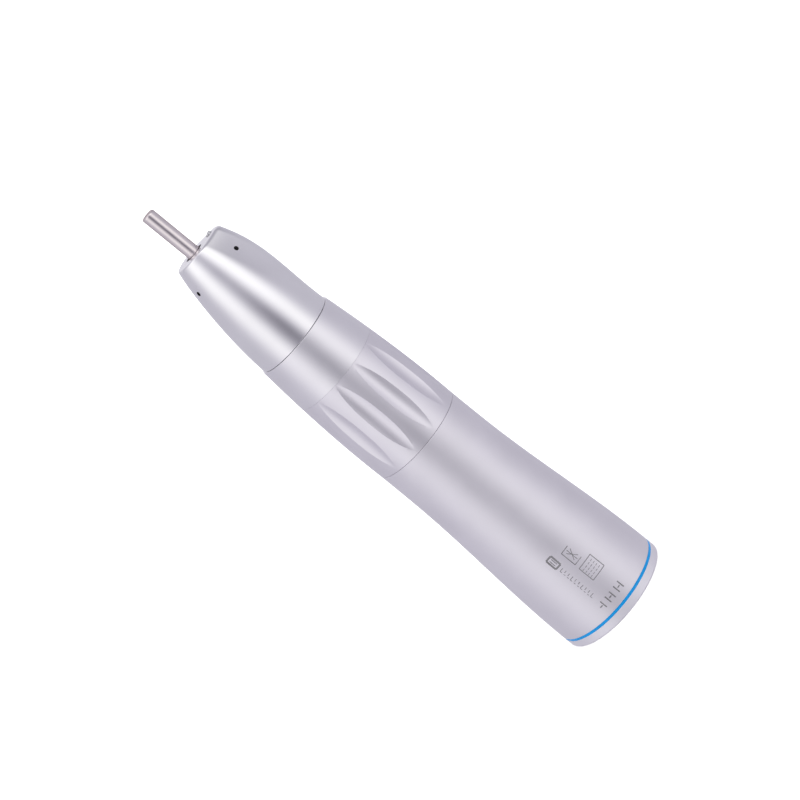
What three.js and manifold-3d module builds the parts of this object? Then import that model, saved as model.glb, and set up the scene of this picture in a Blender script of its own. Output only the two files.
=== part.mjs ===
// Straight 1:1 dental handpiece with a twist-lock collet chuck, a 2.35 mm test mandrel and an internal
// water line, for a micromotor with a stepped plug-in coupling.
//
// Millimetres. +Z runs along the axis from the coupling to the nose, and z = 0 is the rear face.
// +X is the spray side, where the nose bulges over the water line. -Y is the marked side.
import * as THREE from "three";
import { mergeVertices } from "three/addons/utils/BufferGeometryUtils.js";
import Module from "manifold-3d";

const wasm = await Module();
wasm.setup();

// ---- Driving dimensions ----------------------------------------------------------------------
const OUTER_SIDES = 32; // facets round the outer shells
const INNER_SIDES = 20; // facets round everything inside, the same for all so that fits nest
const PIN_SIDES = 12;

const RUNNING = 0.05; // radial clearance of parts that turn or slide in each other
const SEATED = 0.02; // radial clearance of parts that are pressed or glued
const JOINT_GAP = 0.04; // axial clearance of parts that butt together

// Outer shells, from the coupling to the nose
const END_RING_LENGTH = 1.55;
const RATIO_RING_LENGTH = 0.5;
const END_RADIUS = 10.2;
const SLEEVE_FRONT_Z = 41.75;
const GRIP_REAR_Z = 41.87;
const GRIP_FRONT_Z = 58.3;
const COLLAR_FRONT_Z = 66.43;
const NOSE_REAR_Z = 66.55;
const NOSE_FRONT_Z = 86.3;
const SLEEVE_WALL = 0.85;

// Outside radius along Z of the flared sleeve, the lock ring and the nose
const eased = THREE.MathUtils.smoothstep;
const sleeveRadius = (z) => 8.51 + 1.64 * (1 - eased(z, 2, 36.5)) + 0.045 * (1 - eased(z, 34, 41));
const gripRadius = (z) =>
  8.53 - 0.0044 * Math.max(0, z - 45) ** 1.8 - 0.0012 * Math.max(0, 46 - z) ** 2;
const noseRadius = (z) => 7.22 - 0.045 * (z - NOSE_REAR_Z) - 0.000405 * Math.max(0, z - 70) ** 3;
const noseShift = (z) => 0.88 * eased(z, 67, 83); // of the nose's middle towards +X
const ridgeRadius = (z) => 1.6 + 3 * (1 - eased(z, 67, 80)); // across the nose's ridge

const SEAL_RADIUS = 6.75;
const SEAL_LENGTH = 0.8;

// Spanner holes round the nose, as angles from +X
const SPANNER_HOLES_DEG = [-29, -151, 29, 151];
const SPANNER_HOLE_Z = 82.15;

// Finger flutes of the lock ring: each is a scoop by a long ellipsoid
const FLUTES = 12;
const FLUTE_PHASE_DEG = 16.5; // of the first flute, from -Y towards +X
const FLUTE_MID_Z = 50.45;
const FLUTE_CUTTER = { along: 14.4, across: 1.86, deep: 1.2 };
const FLUTE_CUTTER_RADIUS = 9.36; // of the cutter's centre
const FLUTE_TILT_DEG = 1.6;

// Chuck and its release
const SHANK_RADIUS = 1.175; // 2.35 mm handpiece shank
const SHANK_LENGTH = 44.5;
const MANDREL_TIP_Z = 95.35;
const LOCK_TURN_DEG = 45;
const RELEASE_TRAVEL = 1.15; // of the release sleeve over the whole turn
const CHUCK_TRAVEL = 1.0; // of the collet over the whole turn
const CAM_PIN_RADIUS = 0.7;
const CAM_PIN_Z = 44;
const STOP_PIN_RADIUS = 0.6;
const STOP_PIN_Z = 49.5;
const CROSS_PIN_RADIUS = 0.7;
const CROSS_PIN_Z = 47.4;

// Core tube and spindle
const CORE_BORE = 5.05;
const CORE_RADIUS = 6.4;
const CORE_REAR_Z = 28.9;
const CORE_FRONT_Z = 71.5;
const FLANGE_REAR_Z = 36.2;
const FLANGE_RADIUS = 7.6;
const NECK_REAR_Z = 66;
const NECK_RADIUS = 6.15;
const SPINDLE_RADIUS = 4.1;
const SPRING_CHAMBER_RADIUS = 3.2;
const DRAW_BORE = 2.1;
const JOURNAL_RADIUS = 3 - SEATED;
const SPINDLE_FRONT_Z = 83.15;

// Bearings: bore radius, outside radius, width, ball radius and number of balls
const FRONT_BEARING = { bore: 3, outside: 5, width: 3, ball: 0.57, balls: 7 };
const REAR_BEARING = { bore: 2.5, outside: 5, width: 4, ball: 0.76, balls: 7 };
const FRONT_BEARING_ZS = [72.5, 76];
const REAR_BEARING_Z = 29.2;

// Coupling for the motor
const MOUTH_RADIUS = 7.9;
const SPIGOT_BORE = 6.4;
const BORE_FLOOR_Z = 27.5;

// Water line
const TUBE_RADIUS = 0.35;
const TUBE_BORE = 0.2;
const CHANNEL_RADIUS = 0.43;
const TUBE_REAR_X = 7.1;
const TUBE_MID_X = 6.1;
const NOZZLE_X = 3.6;
const NOZZLE_RADIUS = 0.5;
const NOZZLE_SEAT = 1.2; // how deep it sits in the nose
const NOZZLE_PROUD = 0.3;
const WATER_PORT_Z = 14.5;

// ---- Finishes --------------------------------------------------------------------------------
const finish = (color, roughness, metalness) =>
  new THREE.MeshStandardMaterial({ color, roughness, metalness });
const SATIN_SHELL = finish(0xc9c7ce, 0.38, 1);
const NOSE_STEEL = finish(0xd2d0d6, 0.26, 1);
const SHANK_STEEL = finish(0xcfc6c4, 0.2, 1);
const CORE_STEEL = finish(0xb4b4b8, 0.4, 1);
const BEARING_STEEL = finish(0xc8c8cc, 0.15, 1);
const SPRING_STEEL = finish(0x8f9094, 0.3, 1);
const RATIO_BLUE = finish(0x1f8fd6, 0.35, 0.2);
const SEAL_RUBBER = finish(0x2a282c, 0.8, 0);
const SLIDE_PLASTIC = finish(0xe6e2d8, 0.6, 0);
const CAGE_PLASTIC = finish(0x8a5a2c, 0.6, 0);

// ---- Geometry helpers ------------------------------------------------------------------------

// A three.js geometry as a manifold-3d solid, with its faces turned outwards.
function solid(geometry) {
  const bare = geometry.index ? geometry.toNonIndexed() : geometry.clone();
  bare.deleteAttribute("normal");
  bare.deleteAttribute("uv");
  const merged = mergeVertices(bare, 1e-4);
  const made = (triVerts) =>
    new wasm.Manifold(
      new wasm.Mesh({ numProp: 3, vertProperties: merged.attributes.position.array, triVerts }),
    );
  const triVerts = new Uint32Array(merged.index.array);
  const first = made(triVerts);
  if (first.volume() > 0) return first;
  for (let i = 0; i < triVerts.length; i += 3) {
    [triVerts[i + 1], triVerts[i + 2]] = [triVerts[i + 2], triVerts[i + 1]];
  }
  return made(triVerts);
}

function geometryOf(body) {
  const mesh = body.getMesh();
  const stride = mesh.numProp;
  const positions = new Float32Array(mesh.numVert * 3);
  for (let i = 0; i < mesh.numVert; i++) {
    positions.set(mesh.vertProperties.subarray(i * stride, i * stride + 3), i * 3);
  }
  return new THREE.BufferGeometry()
    .setAttribute("position", new THREE.BufferAttribute(positions, 3))
    .setIndex(new THREE.BufferAttribute(mesh.triVerts, 1));
}

const cut = (body, tools) => tools.reduce((left, tool) => left.subtract(tool), body);
const radians = THREE.MathUtils.degToRad;

// A turned part about Z from [radius, z] points. A ring's outline closes on itself, and a solid bar's
// starts and ends on the axis.
function turned(points, sides = INNER_SIDES) {
  const outline = points.map(([r, z]) => new THREE.Vector2(r, z));
  const closed = points[0][0] > 0;
  if (closed) outline.push(outline[0].clone());
  return new THREE.LatheGeometry(outline, sides).rotateX(Math.PI / 2);
}

// A plain ring between two radii and two heights.
const ring = (inside, outside, low, high, sides) =>
  turned([[inside, low], [outside, low], [outside, high], [inside, high]], sides);

// A round bar along Z from low to high.
const bar = (radius, low, high, sides = INNER_SIDES) =>
  turned([[0, low], [radius, low], [radius, high], [0, high]], sides);

// A round pin that points outwards at an angle from +X, from one radius to another.
function radialPin(radius, from, to, angleDeg, z, sides = PIN_SIDES) {
  return bar(radius, from, to, sides)
    .rotateY(Math.PI / 2)
    .rotateZ(radians(angleDeg))
    .translate(0, 0, z);
}

// An outside surface from low to high, as [radius, z] points.
const surfaceOf = (radiusAt, low, high, steps) =>
  Array.from({ length: steps + 1 }, (_, i) => {
    const z = low + ((high - low) * i) / steps;
    return [radiusAt(z), z];
  });

// A slot through a ring's wall that a radial pin follows while the ring turns: it starts at startDeg and
// runs backwards by the turn, climbing by rise.
function camSlot(pinRadius, startDeg, z, turnDeg, rise, wall) {
  const half = pinRadius + 0.12;
  const scale = wall.inside; // the outline's x is an arc length at the inner wall
  const sweep = radians(turnDeg) * scale;
  const slope = Math.atan2(rise, sweep);
  const length = Math.hypot(sweep, rise);
  const outline = [];
  const sideSteps = 6;
  const endSteps = 6;
  for (let i = 0; i <= sideSteps; i++) outline.push([(length * i) / sideSteps, -half]);
  for (let i = 1; i < endSteps; i++) {
    const a = (Math.PI * i) / endSteps - Math.PI / 2;
    outline.push([length + half * Math.cos(a), half * Math.sin(a)]);
  }
  for (let i = sideSteps; i >= 0; i--) outline.push([(length * i) / sideSteps, half]);
  for (let i = 1; i < endSteps; i++) {
    const a = Math.PI / 2 + (Math.PI * i) / endSteps;
    outline.push([half * Math.cos(a), half * Math.sin(a)]);
  }
  const shape = new THREE.Shape(outline.map(([x, y]) => new THREE.Vector2(x, y)));
  const depth = wall.outside - wall.inside + 2;
  const blank = new THREE.ExtrudeGeometry(shape, { depth, bevelEnabled: false, steps: 1 });
  const place = blank.attributes.position;
  for (let i = 0; i < place.count; i++) {
    const x = place.getX(i);
    const y = place.getY(i);
    const along = x * Math.cos(slope) - y * Math.sin(slope);
    const up = x * Math.sin(slope) + y * Math.cos(slope);
    const angle = radians(startDeg) - along / scale;
    const radius = wall.inside - 1 + place.getZ(i);
    place.setXYZ(i, radius * Math.cos(angle), radius * Math.sin(angle), z + up);
  }
  return solid(blank);
}

// A rod or tube along a curve.
function swept(curve, outside, bore, sides, steps) {
  const shape = new THREE.Shape().absarc(0, 0, outside, 0, 2 * Math.PI);
  if (bore) shape.holes.push(new THREE.Path().absarc(0, 0, bore, 0, 2 * Math.PI));
  return new THREE.ExtrudeGeometry(shape, { extrudePath: curve, steps, curveSegments: sides / 2 });
}

// ---- Outer shells ----------------------------------------------------------------------------
const SLEEVE_REAR_Z = END_RING_LENGTH + RATIO_RING_LENGTH;

function endRing() {
  const round = 0.28;
  const inside = 8.3;
  const top = END_RING_LENGTH - JOINT_GAP;
  return turned(
    [
      [inside + 0.15, 0],
      [END_RADIUS - round, 0],
      [END_RADIUS - 0.3 * round, 0.3 * round],
      [END_RADIUS, round],
      [END_RADIUS, top],
      [inside, top],
      [inside, 0.15],
    ],
    OUTER_SIDES,
  );
}

function ratioRing() {
  return ring(9.2, END_RADIUS - 0.03, END_RING_LENGTH, SLEEVE_REAR_Z - JOINT_GAP, OUTER_SIDES);
}

// The long flared shell over the coupling.
function rearSleeve() {
  return turned(
    [
      ...surfaceOf(sleeveRadius, SLEEVE_REAR_Z, SLEEVE_FRONT_Z, 8),
      [sleeveRadius(SLEEVE_FRONT_Z) - SLEEVE_WALL, SLEEVE_FRONT_Z],
      [7.82, 32],
      [8.4, 20],
      [9.2, 8],
      [9.2, SLEEVE_REAR_Z],
    ],
    OUTER_SIDES,
  );
}

// The fluted half of the lock ring.
function gripRing() {
  const inside = 7.4;
  const surface = surfaceOf(gripRadius, GRIP_REAR_Z, GRIP_FRONT_Z, 5);
  const blank = solid(turned([...surface, [inside, GRIP_FRONT_Z], [inside, GRIP_REAR_Z]], 2 * INNER_SIDES));
  const { along, across, deep } = FLUTE_CUTTER;
  const scoops = Array.from({ length: FLUTES }, (_, i) => {
    const angle = radians(FLUTE_PHASE_DEG - 90 + (360 / FLUTES) * i);
    return solid(
      new THREE.SphereGeometry(1, 12, 10)
        .scale(deep, across, along)
        .rotateY(-radians(FLUTE_TILT_DEG))
        .translate(FLUTE_CUTTER_RADIUS, 0, FLUTE_MID_Z)
        .rotateZ(angle),
    );
  });
  return geometryOf(cut(blank, scoops));
}

// The smooth half of the lock ring, with a spigot that is pressed into the fluted half.
function gripCollar() {
  const rear = GRIP_FRONT_Z + JOINT_GAP;
  const inside = 6.6;
  const spigot = 7.35;
  const spigotLength = 4;
  return turned(
    [
      ...surfaceOf(gripRadius, rear, COLLAR_FRONT_Z - 0.1, 4),
      [gripRadius(COLLAR_FRONT_Z) - 0.1, COLLAR_FRONT_Z],
      [inside, COLLAR_FRONT_Z],
      [inside, rear - spigotLength],
      [spigot, rear - spigotLength],
      [spigot, rear],
    ],
    OUTER_SIDES,
  );
}

// How far the nose's surface is from the axis at an angle from +X. Its section is a circle round the axis
// and a smaller one on +X over the water line, with straight flanks from one to the other.
function noseReach(turn, z) {
  const body = noseRadius(z) - noseShift(z);
  const ridge = ridgeRadius(z);
  const out = noseRadius(z) + noseShift(z) - ridge;
  const flank = Math.acos(Math.min(1, (body - ridge) / out)); // the direction a flank faces
  const angle = Math.abs(turn);
  if (angle >= flank) return body;
  const ridgeEnd = Math.atan2(ridge * Math.sin(flank), out + ridge * Math.cos(flank));
  if (angle >= ridgeEnd) return body / Math.cos(angle - flank);
  return out * Math.cos(angle) + Math.sqrt(ridge ** 2 - (out * Math.sin(angle)) ** 2);
}

// The nose: round at its rear, and drawn out to a ridge on +X further forward.
function noseCone(waterLine) {
  const edge = 0.3;
  const outer = turned(
    [
      [0, NOSE_REAR_Z],
      ...surfaceOf(noseRadius, NOSE_REAR_Z, 80, 5),
      ...surfaceOf(noseRadius, 82, NOSE_FRONT_Z - edge, 2),
      [noseRadius(NOSE_FRONT_Z) - edge, NOSE_FRONT_Z],
      [0, NOSE_FRONT_Z],
    ],
    OUTER_SIDES,
  );
  const place = outer.attributes.position;
  for (let i = 0; i < place.count; i++) {
    const z = place.getZ(i);
    const angle = Math.atan2(place.getY(i), place.getX(i));
    const scale = noseReach(angle, z) / noseRadius(z);
    place.setXY(i, place.getX(i) * scale, place.getY(i) * scale);
  }
  const seat = FRONT_BEARING.outside + SEATED;
  const mouth = 1.7;
  const chamberFront = NOSE_FRONT_Z - 1.45;
  const chamber = turned([
    [0, NOSE_REAR_Z - 1],
    [SEAL_RADIUS + 0.05, NOSE_REAR_Z - 1],
    [SEAL_RADIUS + 0.05, NOSE_REAR_Z + SEAL_LENGTH],
    [NECK_RADIUS + RUNNING, NOSE_REAR_Z + SEAL_LENGTH],
    [NECK_RADIUS + RUNNING, 71.6],
    [seat, 71.6],
    [seat, 79.1],
    [4.1, 79.1],
    [4.1, 80.8],
    [3.3, 80.8],
    [3.3, chamberFront],
    [mouth, chamberFront],
    [mouth, NOSE_FRONT_Z + 1],
    [0, NOSE_FRONT_Z + 1],
  ]);
  const spannerHoles = SPANNER_HOLES_DEG.map((angle) => {
    const surface = noseReach(radians(angle), SPANNER_HOLE_Z);
    return solid(radialPin(0.36, surface - 1.1, surface + 1, angle, SPANNER_HOLE_Z));
  });
  const seatOfNozzle = solid(sprayBarrel(NOZZLE_RADIUS + 0.12, NOZZLE_SEAT + 1));
  return geometryOf(cut(solid(outer), [solid(chamber), waterLine, seatOfNozzle, ...spannerHoles]));
}

// The seal in the nose's rear face. Its lip stands out a little, towards the collar.
function noseSeal(waterLine) {
  const front = NOSE_REAR_Z + SEAL_LENGTH - JOINT_GAP;
  const blank = ring(NECK_RADIUS + RUNNING, SEAL_RADIUS, NOSE_REAR_Z - JOINT_GAP, front);
  return geometryOf(solid(blank).subtract(waterLine));
}

// ---- Water line ------------------------------------------------------------------------------
const SPRAY_REAR_Z = 79;
const SPRAY_SLOPE = Math.atan2(TUBE_MID_X - NOZZLE_X, NOSE_FRONT_Z - SPRAY_REAR_Z);

// The tube's line: along the coupling's wall, in through the core's flange, along the core and the
// nose's wall, then towards the tip of the bur.
function waterCurve(endGap) {
  const at = (x, z) => new THREE.Vector3(x, 0, z);
  const path = new THREE.CurvePath();
  const corners = [
    [TUBE_REAR_X, FLANGE_REAR_Z + 0.6],
    [TUBE_MID_X, SLEEVE_FRONT_Z - 1.4],
    [TUBE_MID_X, SPRAY_REAR_Z],
  ];
  const stop = NOZZLE_SEAT + endGap;
  const end = at(NOZZLE_X + stop * Math.sin(SPRAY_SLOPE), NOSE_FRONT_Z - stop * Math.cos(SPRAY_SLOPE));
  const bend = 1.2;
  let from = at(TUBE_REAR_X, WATER_PORT_Z + 1);
  corners.forEach(([x, z], i) => {
    const corner = at(x, z);
    const next = i + 1 < corners.length ? at(...corners[i + 1]) : end;
    const before = corner.clone().add(from.clone().sub(corner).setLength(bend));
    const after = corner.clone().add(next.clone().sub(corner).setLength(bend));
    path.add(new THREE.LineCurve3(from, before));
    path.add(new THREE.QuadraticBezierCurve3(before, corner, after));
    from = after;
  });
  path.add(new THREE.LineCurve3(from, end));
  return path;
}

const waterTube = () => swept(waterCurve(0.2), TUBE_RADIUS, TUBE_BORE, 6, 20);

// The channel that the tube lies in, open to the outside along the core tube.
function waterChannel() {
  const round = solid(swept(waterCurve(0), CHANNEL_RADIUS, 0, 6, 20));
  const mouth = new THREE.BoxGeometry(0.8, 2 * CHANNEL_RADIUS, NECK_REAR_Z + 5.5 - SLEEVE_FRONT_Z);
  mouth.translate(TUBE_MID_X + 0.4, 0, (NECK_REAR_Z + 5.5 + SLEEVE_FRONT_Z) / 2);
  return { round, open: round.add(solid(mouth)) };
}

// A bar along the spray's direction, from the bottom of the nozzle's seat.
function sprayBarrel(radius, length) {
  return bar(radius, -NOZZLE_SEAT, length - NOZZLE_SEAT, PIN_SIDES)
    .rotateY(-SPRAY_SLOPE)
    .translate(NOZZLE_X, 0, NOSE_FRONT_Z);
}

function sprayNozzle() {
  const edge = 0.1;
  return turned(
    [
      [TUBE_BORE, -NOZZLE_SEAT],
      [NOZZLE_RADIUS, -NOZZLE_SEAT],
      [NOZZLE_RADIUS, NOZZLE_PROUD - edge],
      [NOZZLE_RADIUS - edge, NOZZLE_PROUD],
      [TUBE_BORE, NOZZLE_PROUD],
    ],
    PIN_SIDES,
  );
}

// ---- Coupling and core -----------------------------------------------------------------------
function couplingBush(channel) {
  const body = solid(
    turned(
      [
        [8.25, 0.15],
        [8.25, END_RING_LENGTH + JOINT_GAP],
        [9.15, END_RING_LENGTH + JOINT_GAP],
        [9.15, 6.5],
        [7.8, 8],
        [FLANGE_RADIUS, 28.8],
        [FLANGE_RADIUS, FLANGE_REAR_Z - JOINT_GAP],
        [6.5, FLANGE_REAR_Z - JOINT_GAP],
        [6.5, CORE_REAR_Z - 0.1],
        [3.4, CORE_REAR_Z - 0.1],
        [3.4, BORE_FLOOR_Z],
        [SPIGOT_BORE, BORE_FLOOR_Z],
        [SPIGOT_BORE, 7.2],
        [MOUTH_RADIUS, 6],
        [MOUTH_RADIUS, 4.2],
        [8.35, 4.1],
        [8.35, 3.1],
        [MOUTH_RADIUS, 3],
        [MOUTH_RADIUS, 0.15],
      ],
      INNER_SIDES,
    ),
  );
  const keyway = new THREE.BoxGeometry(2, 1.6, 2.4).translate(0, -8.1, 1.35).toNonIndexed();
  const waterPort = radialPin(0.5, 5.5, TUBE_REAR_X + 0.2, 0, WATER_PORT_Z);
  const well = bar(CHANNEL_RADIUS, WATER_PORT_Z - 0.3, WATER_PORT_Z + 1.5, 8);
  const waterWell = well.translate(TUBE_REAR_X, 0, 0);
  const airPort = radialPin(0.6, 5.5, 8.6, 180, 20);
  return geometryOf(cut(body, [channel, ...[keyway, waterPort, waterWell, airPort].map(solid)]));
}

// The core tube: it holds the rear bearing, guides the release sleeve and carries the nose.
function coreTube(channel) {
  const blank = solid(
    turned([
      [CORE_BORE, CORE_REAR_Z],
      [6.45, CORE_REAR_Z],
      [6.45, FLANGE_REAR_Z],
      [FLANGE_RADIUS, FLANGE_REAR_Z],
      [FLANGE_RADIUS, SLEEVE_FRONT_Z],
      [CORE_RADIUS, SLEEVE_FRONT_Z],
      [CORE_RADIUS, NECK_REAR_Z],
      [NECK_RADIUS, NECK_REAR_Z],
      [NECK_RADIUS, CORE_FRONT_Z],
      [4.4, CORE_FRONT_Z],
      [4.4, CORE_FRONT_Z - 1.2],
      [CORE_BORE, CORE_FRONT_Z - 1.2],
    ]),
  );
  const slotLength = RELEASE_TRAVEL + 2 * CAM_PIN_RADIUS + 0.4;
  const guides = [90, -90].map((angle) =>
    solid(
      new THREE.BoxGeometry(4, 2 * CAM_PIN_RADIUS + 0.16, slotLength)
        .translate(CORE_RADIUS, 0, CAM_PIN_Z + RELEASE_TRAVEL / 2)
        .rotateZ(radians(angle)),
    ),
  );
  const stopHole = solid(radialPin(STOP_PIN_RADIUS + SEATED, 5.4, 8, 180, STOP_PIN_Z));
  return geometryOf(cut(blank, [channel, stopHole, ...guides]));
}

// ---- Lock ring's cam and the release ---------------------------------------------------------
const CAM_WALL = { inside: 6.52, outside: 7.4 - SEATED };

function camRing() {
  const low = GRIP_REAR_Z + 0.5;
  const blank = solid(ring(CAM_WALL.inside, CAM_WALL.outside, low, low + 10));
  const slots = [
    camSlot(CAM_PIN_RADIUS, 90, CAM_PIN_Z, LOCK_TURN_DEG, RELEASE_TRAVEL, CAM_WALL),
    camSlot(CAM_PIN_RADIUS, -90, CAM_PIN_Z, LOCK_TURN_DEG, RELEASE_TRAVEL, CAM_WALL),
    camSlot(STOP_PIN_RADIUS, 180, STOP_PIN_Z, LOCK_TURN_DEG, 0, CAM_WALL),
  ];
  return geometryOf(cut(blank, slots));
}

function releaseSleeve() {
  const low = 40;
  const blank = solid(ring(4.25, CORE_BORE - RUNNING, low, CROSS_PIN_Z - 1.5 - 0.2));
  const holes = [90, -90].map((angle) => solid(radialPin(CAM_PIN_RADIUS + SEATED, 3.5, 6, angle, CAM_PIN_Z)));
  return geometryOf(cut(blank, holes));
}

// ---- Spindle ---------------------------------------------------------------------------------
function spindle() {
  const blank = solid(
    turned([
      [SPRING_CHAMBER_RADIUS, 35],
      [SPINDLE_RADIUS, 35],
      [SPINDLE_RADIUS, 66],
      [3.45, 66.6],
      [3.45, FRONT_BEARING_ZS[0] - JOINT_GAP],
      [JOURNAL_RADIUS, FRONT_BEARING_ZS[0] - JOINT_GAP],
      [JOURNAL_RADIUS, SPINDLE_FRONT_Z],
      [2.62, SPINDLE_FRONT_Z],
      [DRAW_BORE, 79],
      [DRAW_BORE, 61],
      [SPRING_CHAMBER_RADIUS, 61],
    ]),
  );
  const slotLength = CHUCK_TRAVEL + 2 * CROSS_PIN_RADIUS + 0.3;
  const slot = new THREE.BoxGeometry(2 * CROSS_PIN_RADIUS + 0.14, 12, slotLength);
  slot.translate(0, 0, CROSS_PIN_Z + CHUCK_TRAVEL / 2);
  return geometryOf(blank.subtract(solid(slot)));
}

function spindleNut() {
  const blank = solid(ring(JOURNAL_RADIUS + SEATED, 3.65, 79.2, 80.5));
  const flats = [3.4 + 1, -3.4 - 1].map((x) => solid(new THREE.BoxGeometry(2, 8, 3).translate(x, 0, 79.85)));
  return geometryOf(cut(blank, flats));
}

// The drive shaft: a two-pronged dog in the coupling's bore, a journal and a plug in the spindle.
function driveShaft() {
  const blank = solid(
    turned([
      [0, 22.5],
      [2.1, 22.5],
      [2.4, 22.8],
      [2.4, 28.6],
      [3, 28.6],
      [3, 29.1],
      [REAR_BEARING.bore - SEATED, 29.1],
      [REAR_BEARING.bore - SEATED, 33.4],
      [SPRING_CHAMBER_RADIUS - SEATED, 34.4],
      [SPRING_CHAMBER_RADIUS - SEATED, 39],
      [0, 39],
    ]),
  );
  const fork = new THREE.BoxGeometry(6, 1.7, 7).translate(0, 0, 22.5);
  return geometryOf(blank.subtract(solid(fork)));
}

// The closing spring, between the spindle's shoulder and the seat on the draw tube.
function chuckSpring() {
  const turns = 6;
  const wire = 0.38;
  const low = CROSS_PIN_Z + 1.7 + wire;
  const high = 61 - 0.1 - wire;
  const meanRadius = 2.65;
  class Helix extends THREE.Curve {
    getPoint(t, target = new THREE.Vector3()) {
      const a = 2 * Math.PI * turns * t;
      return target.set(meanRadius * Math.cos(a), meanRadius * Math.sin(a), low + (high - low) * t);
    }
  }
  return swept(new Helix(), wire, 0, 6, turns * 8);
}

// ---- Chuck -----------------------------------------------------------------------------------
function collet() {
  const front = SPINDLE_FRONT_Z + 0.3;
  const blank = solid(
    turned([
      [SHANK_RADIUS + 0.03, 58.3],
      [1.72, 58.3],
      [1.72, 64.2],
      [DRAW_BORE - RUNNING, 64.4],
      [DRAW_BORE - RUNNING, 79.1],
      [2.56, SPINDLE_FRONT_Z - 0.1],
      [2.56, front - 0.2],
      [2.36, front],
      [SHANK_RADIUS + 0.25, front],
      [SHANK_RADIUS + 0.03, front - 0.25],
    ]),
  );
  const slits = [90, 210, 330].map((angle) =>
    solid(
      new THREE.BoxGeometry(4, 0.3, 20)
        .translate(2, 0, 10 + 67)
        .rotateZ(radians(angle)),
    ),
  );
  return geometryOf(cut(blank, slits));
}

function drawTube() {
  const low = CROSS_PIN_Z - 1.5;
  const blank = solid(
    turned([
      [1.3, low],
      [2, low],
      [2, 64.1],
      [1.78, 64.1],
      [1.78, 58.2],
      [1.3, 58.2],
    ]),
  );
  return geometryOf(blank.subtract(solid(crossPin(CROSS_PIN_RADIUS + SEATED))));
}

// The pin through the draw tube, the spindle's slots and the thrust collar.
const crossPin = (radius) =>
  bar(radius, -4.7, 4.7, PIN_SIDES).rotateX(Math.PI / 2).translate(0, 0, CROSS_PIN_Z);

function thrustCollar() {
  const blank = solid(ring(SPINDLE_RADIUS + 0.08, 4.85, CROSS_PIN_Z - 1.5, CROSS_PIN_Z + 1.5));
  return geometryOf(blank.subtract(solid(crossPin(CROSS_PIN_RADIUS + SEATED))));
}

const springSeat = () =>
  ring(2 + SEATED, SPRING_CHAMBER_RADIUS - 0.08, CROSS_PIN_Z + 0.8, CROSS_PIN_Z + 1.6);

const shankEnd = MANDREL_TIP_Z - SHANK_LENGTH;
const shankStop = () => bar(1.3 - SEATED, shankEnd - 1.2, shankEnd - 0.1);

function mandrel() {
  const round = 0.3;
  return turned([
    [0, shankEnd],
    [SHANK_RADIUS - 0.2, shankEnd],
    [SHANK_RADIUS, shankEnd + 0.3],
    [SHANK_RADIUS, MANDREL_TIP_Z - round],
    [SHANK_RADIUS - 0.3 * round, MANDREL_TIP_Z - 0.3 * round],
    [SHANK_RADIUS - round, MANDREL_TIP_Z],
    [0, MANDREL_TIP_Z],
  ]);
}

// ---- Bearings --------------------------------------------------------------------------------

// A deep-groove bearing standing on z = 0: its two races, and its cage with the balls in it.
function bearingShapes({ bore, outside, width, ball, balls }) {
  const pitch = (bore + outside) / 2;
  const middle = width / 2;
  const land = 0.72 * ball; // from the pitch circle to each race's shoulder
  const depth = ball + 0.12; // from the pitch circle to each groove's floor
  const race = (wall, way) => [
    [wall, 0],
    [wall, width],
    [pitch + way * land, width],
    [pitch + way * land, middle + ball],
    [pitch + way * depth, middle],
    [pitch + way * land, middle - ball],
    [pitch + way * land, 0],
  ];
  const hoop = solid(
    ring(pitch - 0.45 * ball, pitch + 0.45 * ball, middle - 0.7 * ball, middle + 0.7 * ball, 2 * balls),
  );
  const filled = Array.from({ length: balls }, (_, i) =>
    solid(
      new THREE.OctahedronGeometry(ball, 1)
        .translate(pitch, 0, middle)
        .rotateZ((2 * Math.PI * (i + 0.25)) / balls),
    ),
  ).reduce((all, one) => all.add(one), hoop);
  return {
    outer_race: turned(race(outside, 1)),
    inner_race: turned(race(bore, -1).reverse()),
    cage: geometryOf(filled),
  };
}

// ---- Assembly --------------------------------------------------------------------------------
const part = new THREE.Group();
const groups = Object.fromEntries(
  ["casing", "lock_ring", "release", "spindle", "chuck", "mandrel"].map((name) => [name, new THREE.Group()]),
);
part.add(...Object.values(groups));

function add(group, name, geometry, material, z = 0) {
  const mesh = new THREE.Mesh(geometry, material);
  mesh.name = name;
  mesh.position.z = z;
  group.add(mesh);
  return mesh;
}

const channel = waterChannel();

// Casing
add(groups.casing, "end_ring", endRing(), SATIN_SHELL);
add(groups.casing, "ratio_ring", ratioRing(), RATIO_BLUE);
add(groups.casing, "rear_sleeve", rearSleeve(), SATIN_SHELL);
add(groups.casing, "coupling_bush", couplingBush(channel.round), CORE_STEEL);
add(groups.casing, "core_tube", coreTube(channel.open), CORE_STEEL);
add(groups.casing, "nose_cone", noseCone(channel.round), NOSE_STEEL);
add(groups.casing, "nose_seal", noseSeal(channel.round), SEAL_RUBBER);
add(groups.casing, "water_tube", waterTube(), CORE_STEEL);
const nozzle = add(groups.casing, "spray_nozzle", sprayNozzle(), CORE_STEEL, NOSE_FRONT_Z);
nozzle.position.x = NOZZLE_X;
nozzle.rotation.y = -SPRAY_SLOPE;
const stopPin = radialPin(STOP_PIN_RADIUS, 5.45, CAM_WALL.outside - 0.1, 180, 0);
add(groups.casing, "stop_pin", stopPin, CORE_STEEL, STOP_PIN_Z);
add(groups.casing, "slide_washer", ring(6.5, 7.32, 0, 0.5), SLIDE_PLASTIC, SLEEVE_FRONT_Z + JOINT_GAP);
add(groups.casing, "bearing_clip", ring(4.3, CORE_BORE - SEATED, 0, 0.6), SPRING_STEEL, 33.3);
add(groups.casing, "front_preload_washer", ring(4.2, 4.95, 0, 0.8), SPRING_STEEL, CORE_FRONT_Z + 0.1);
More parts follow.
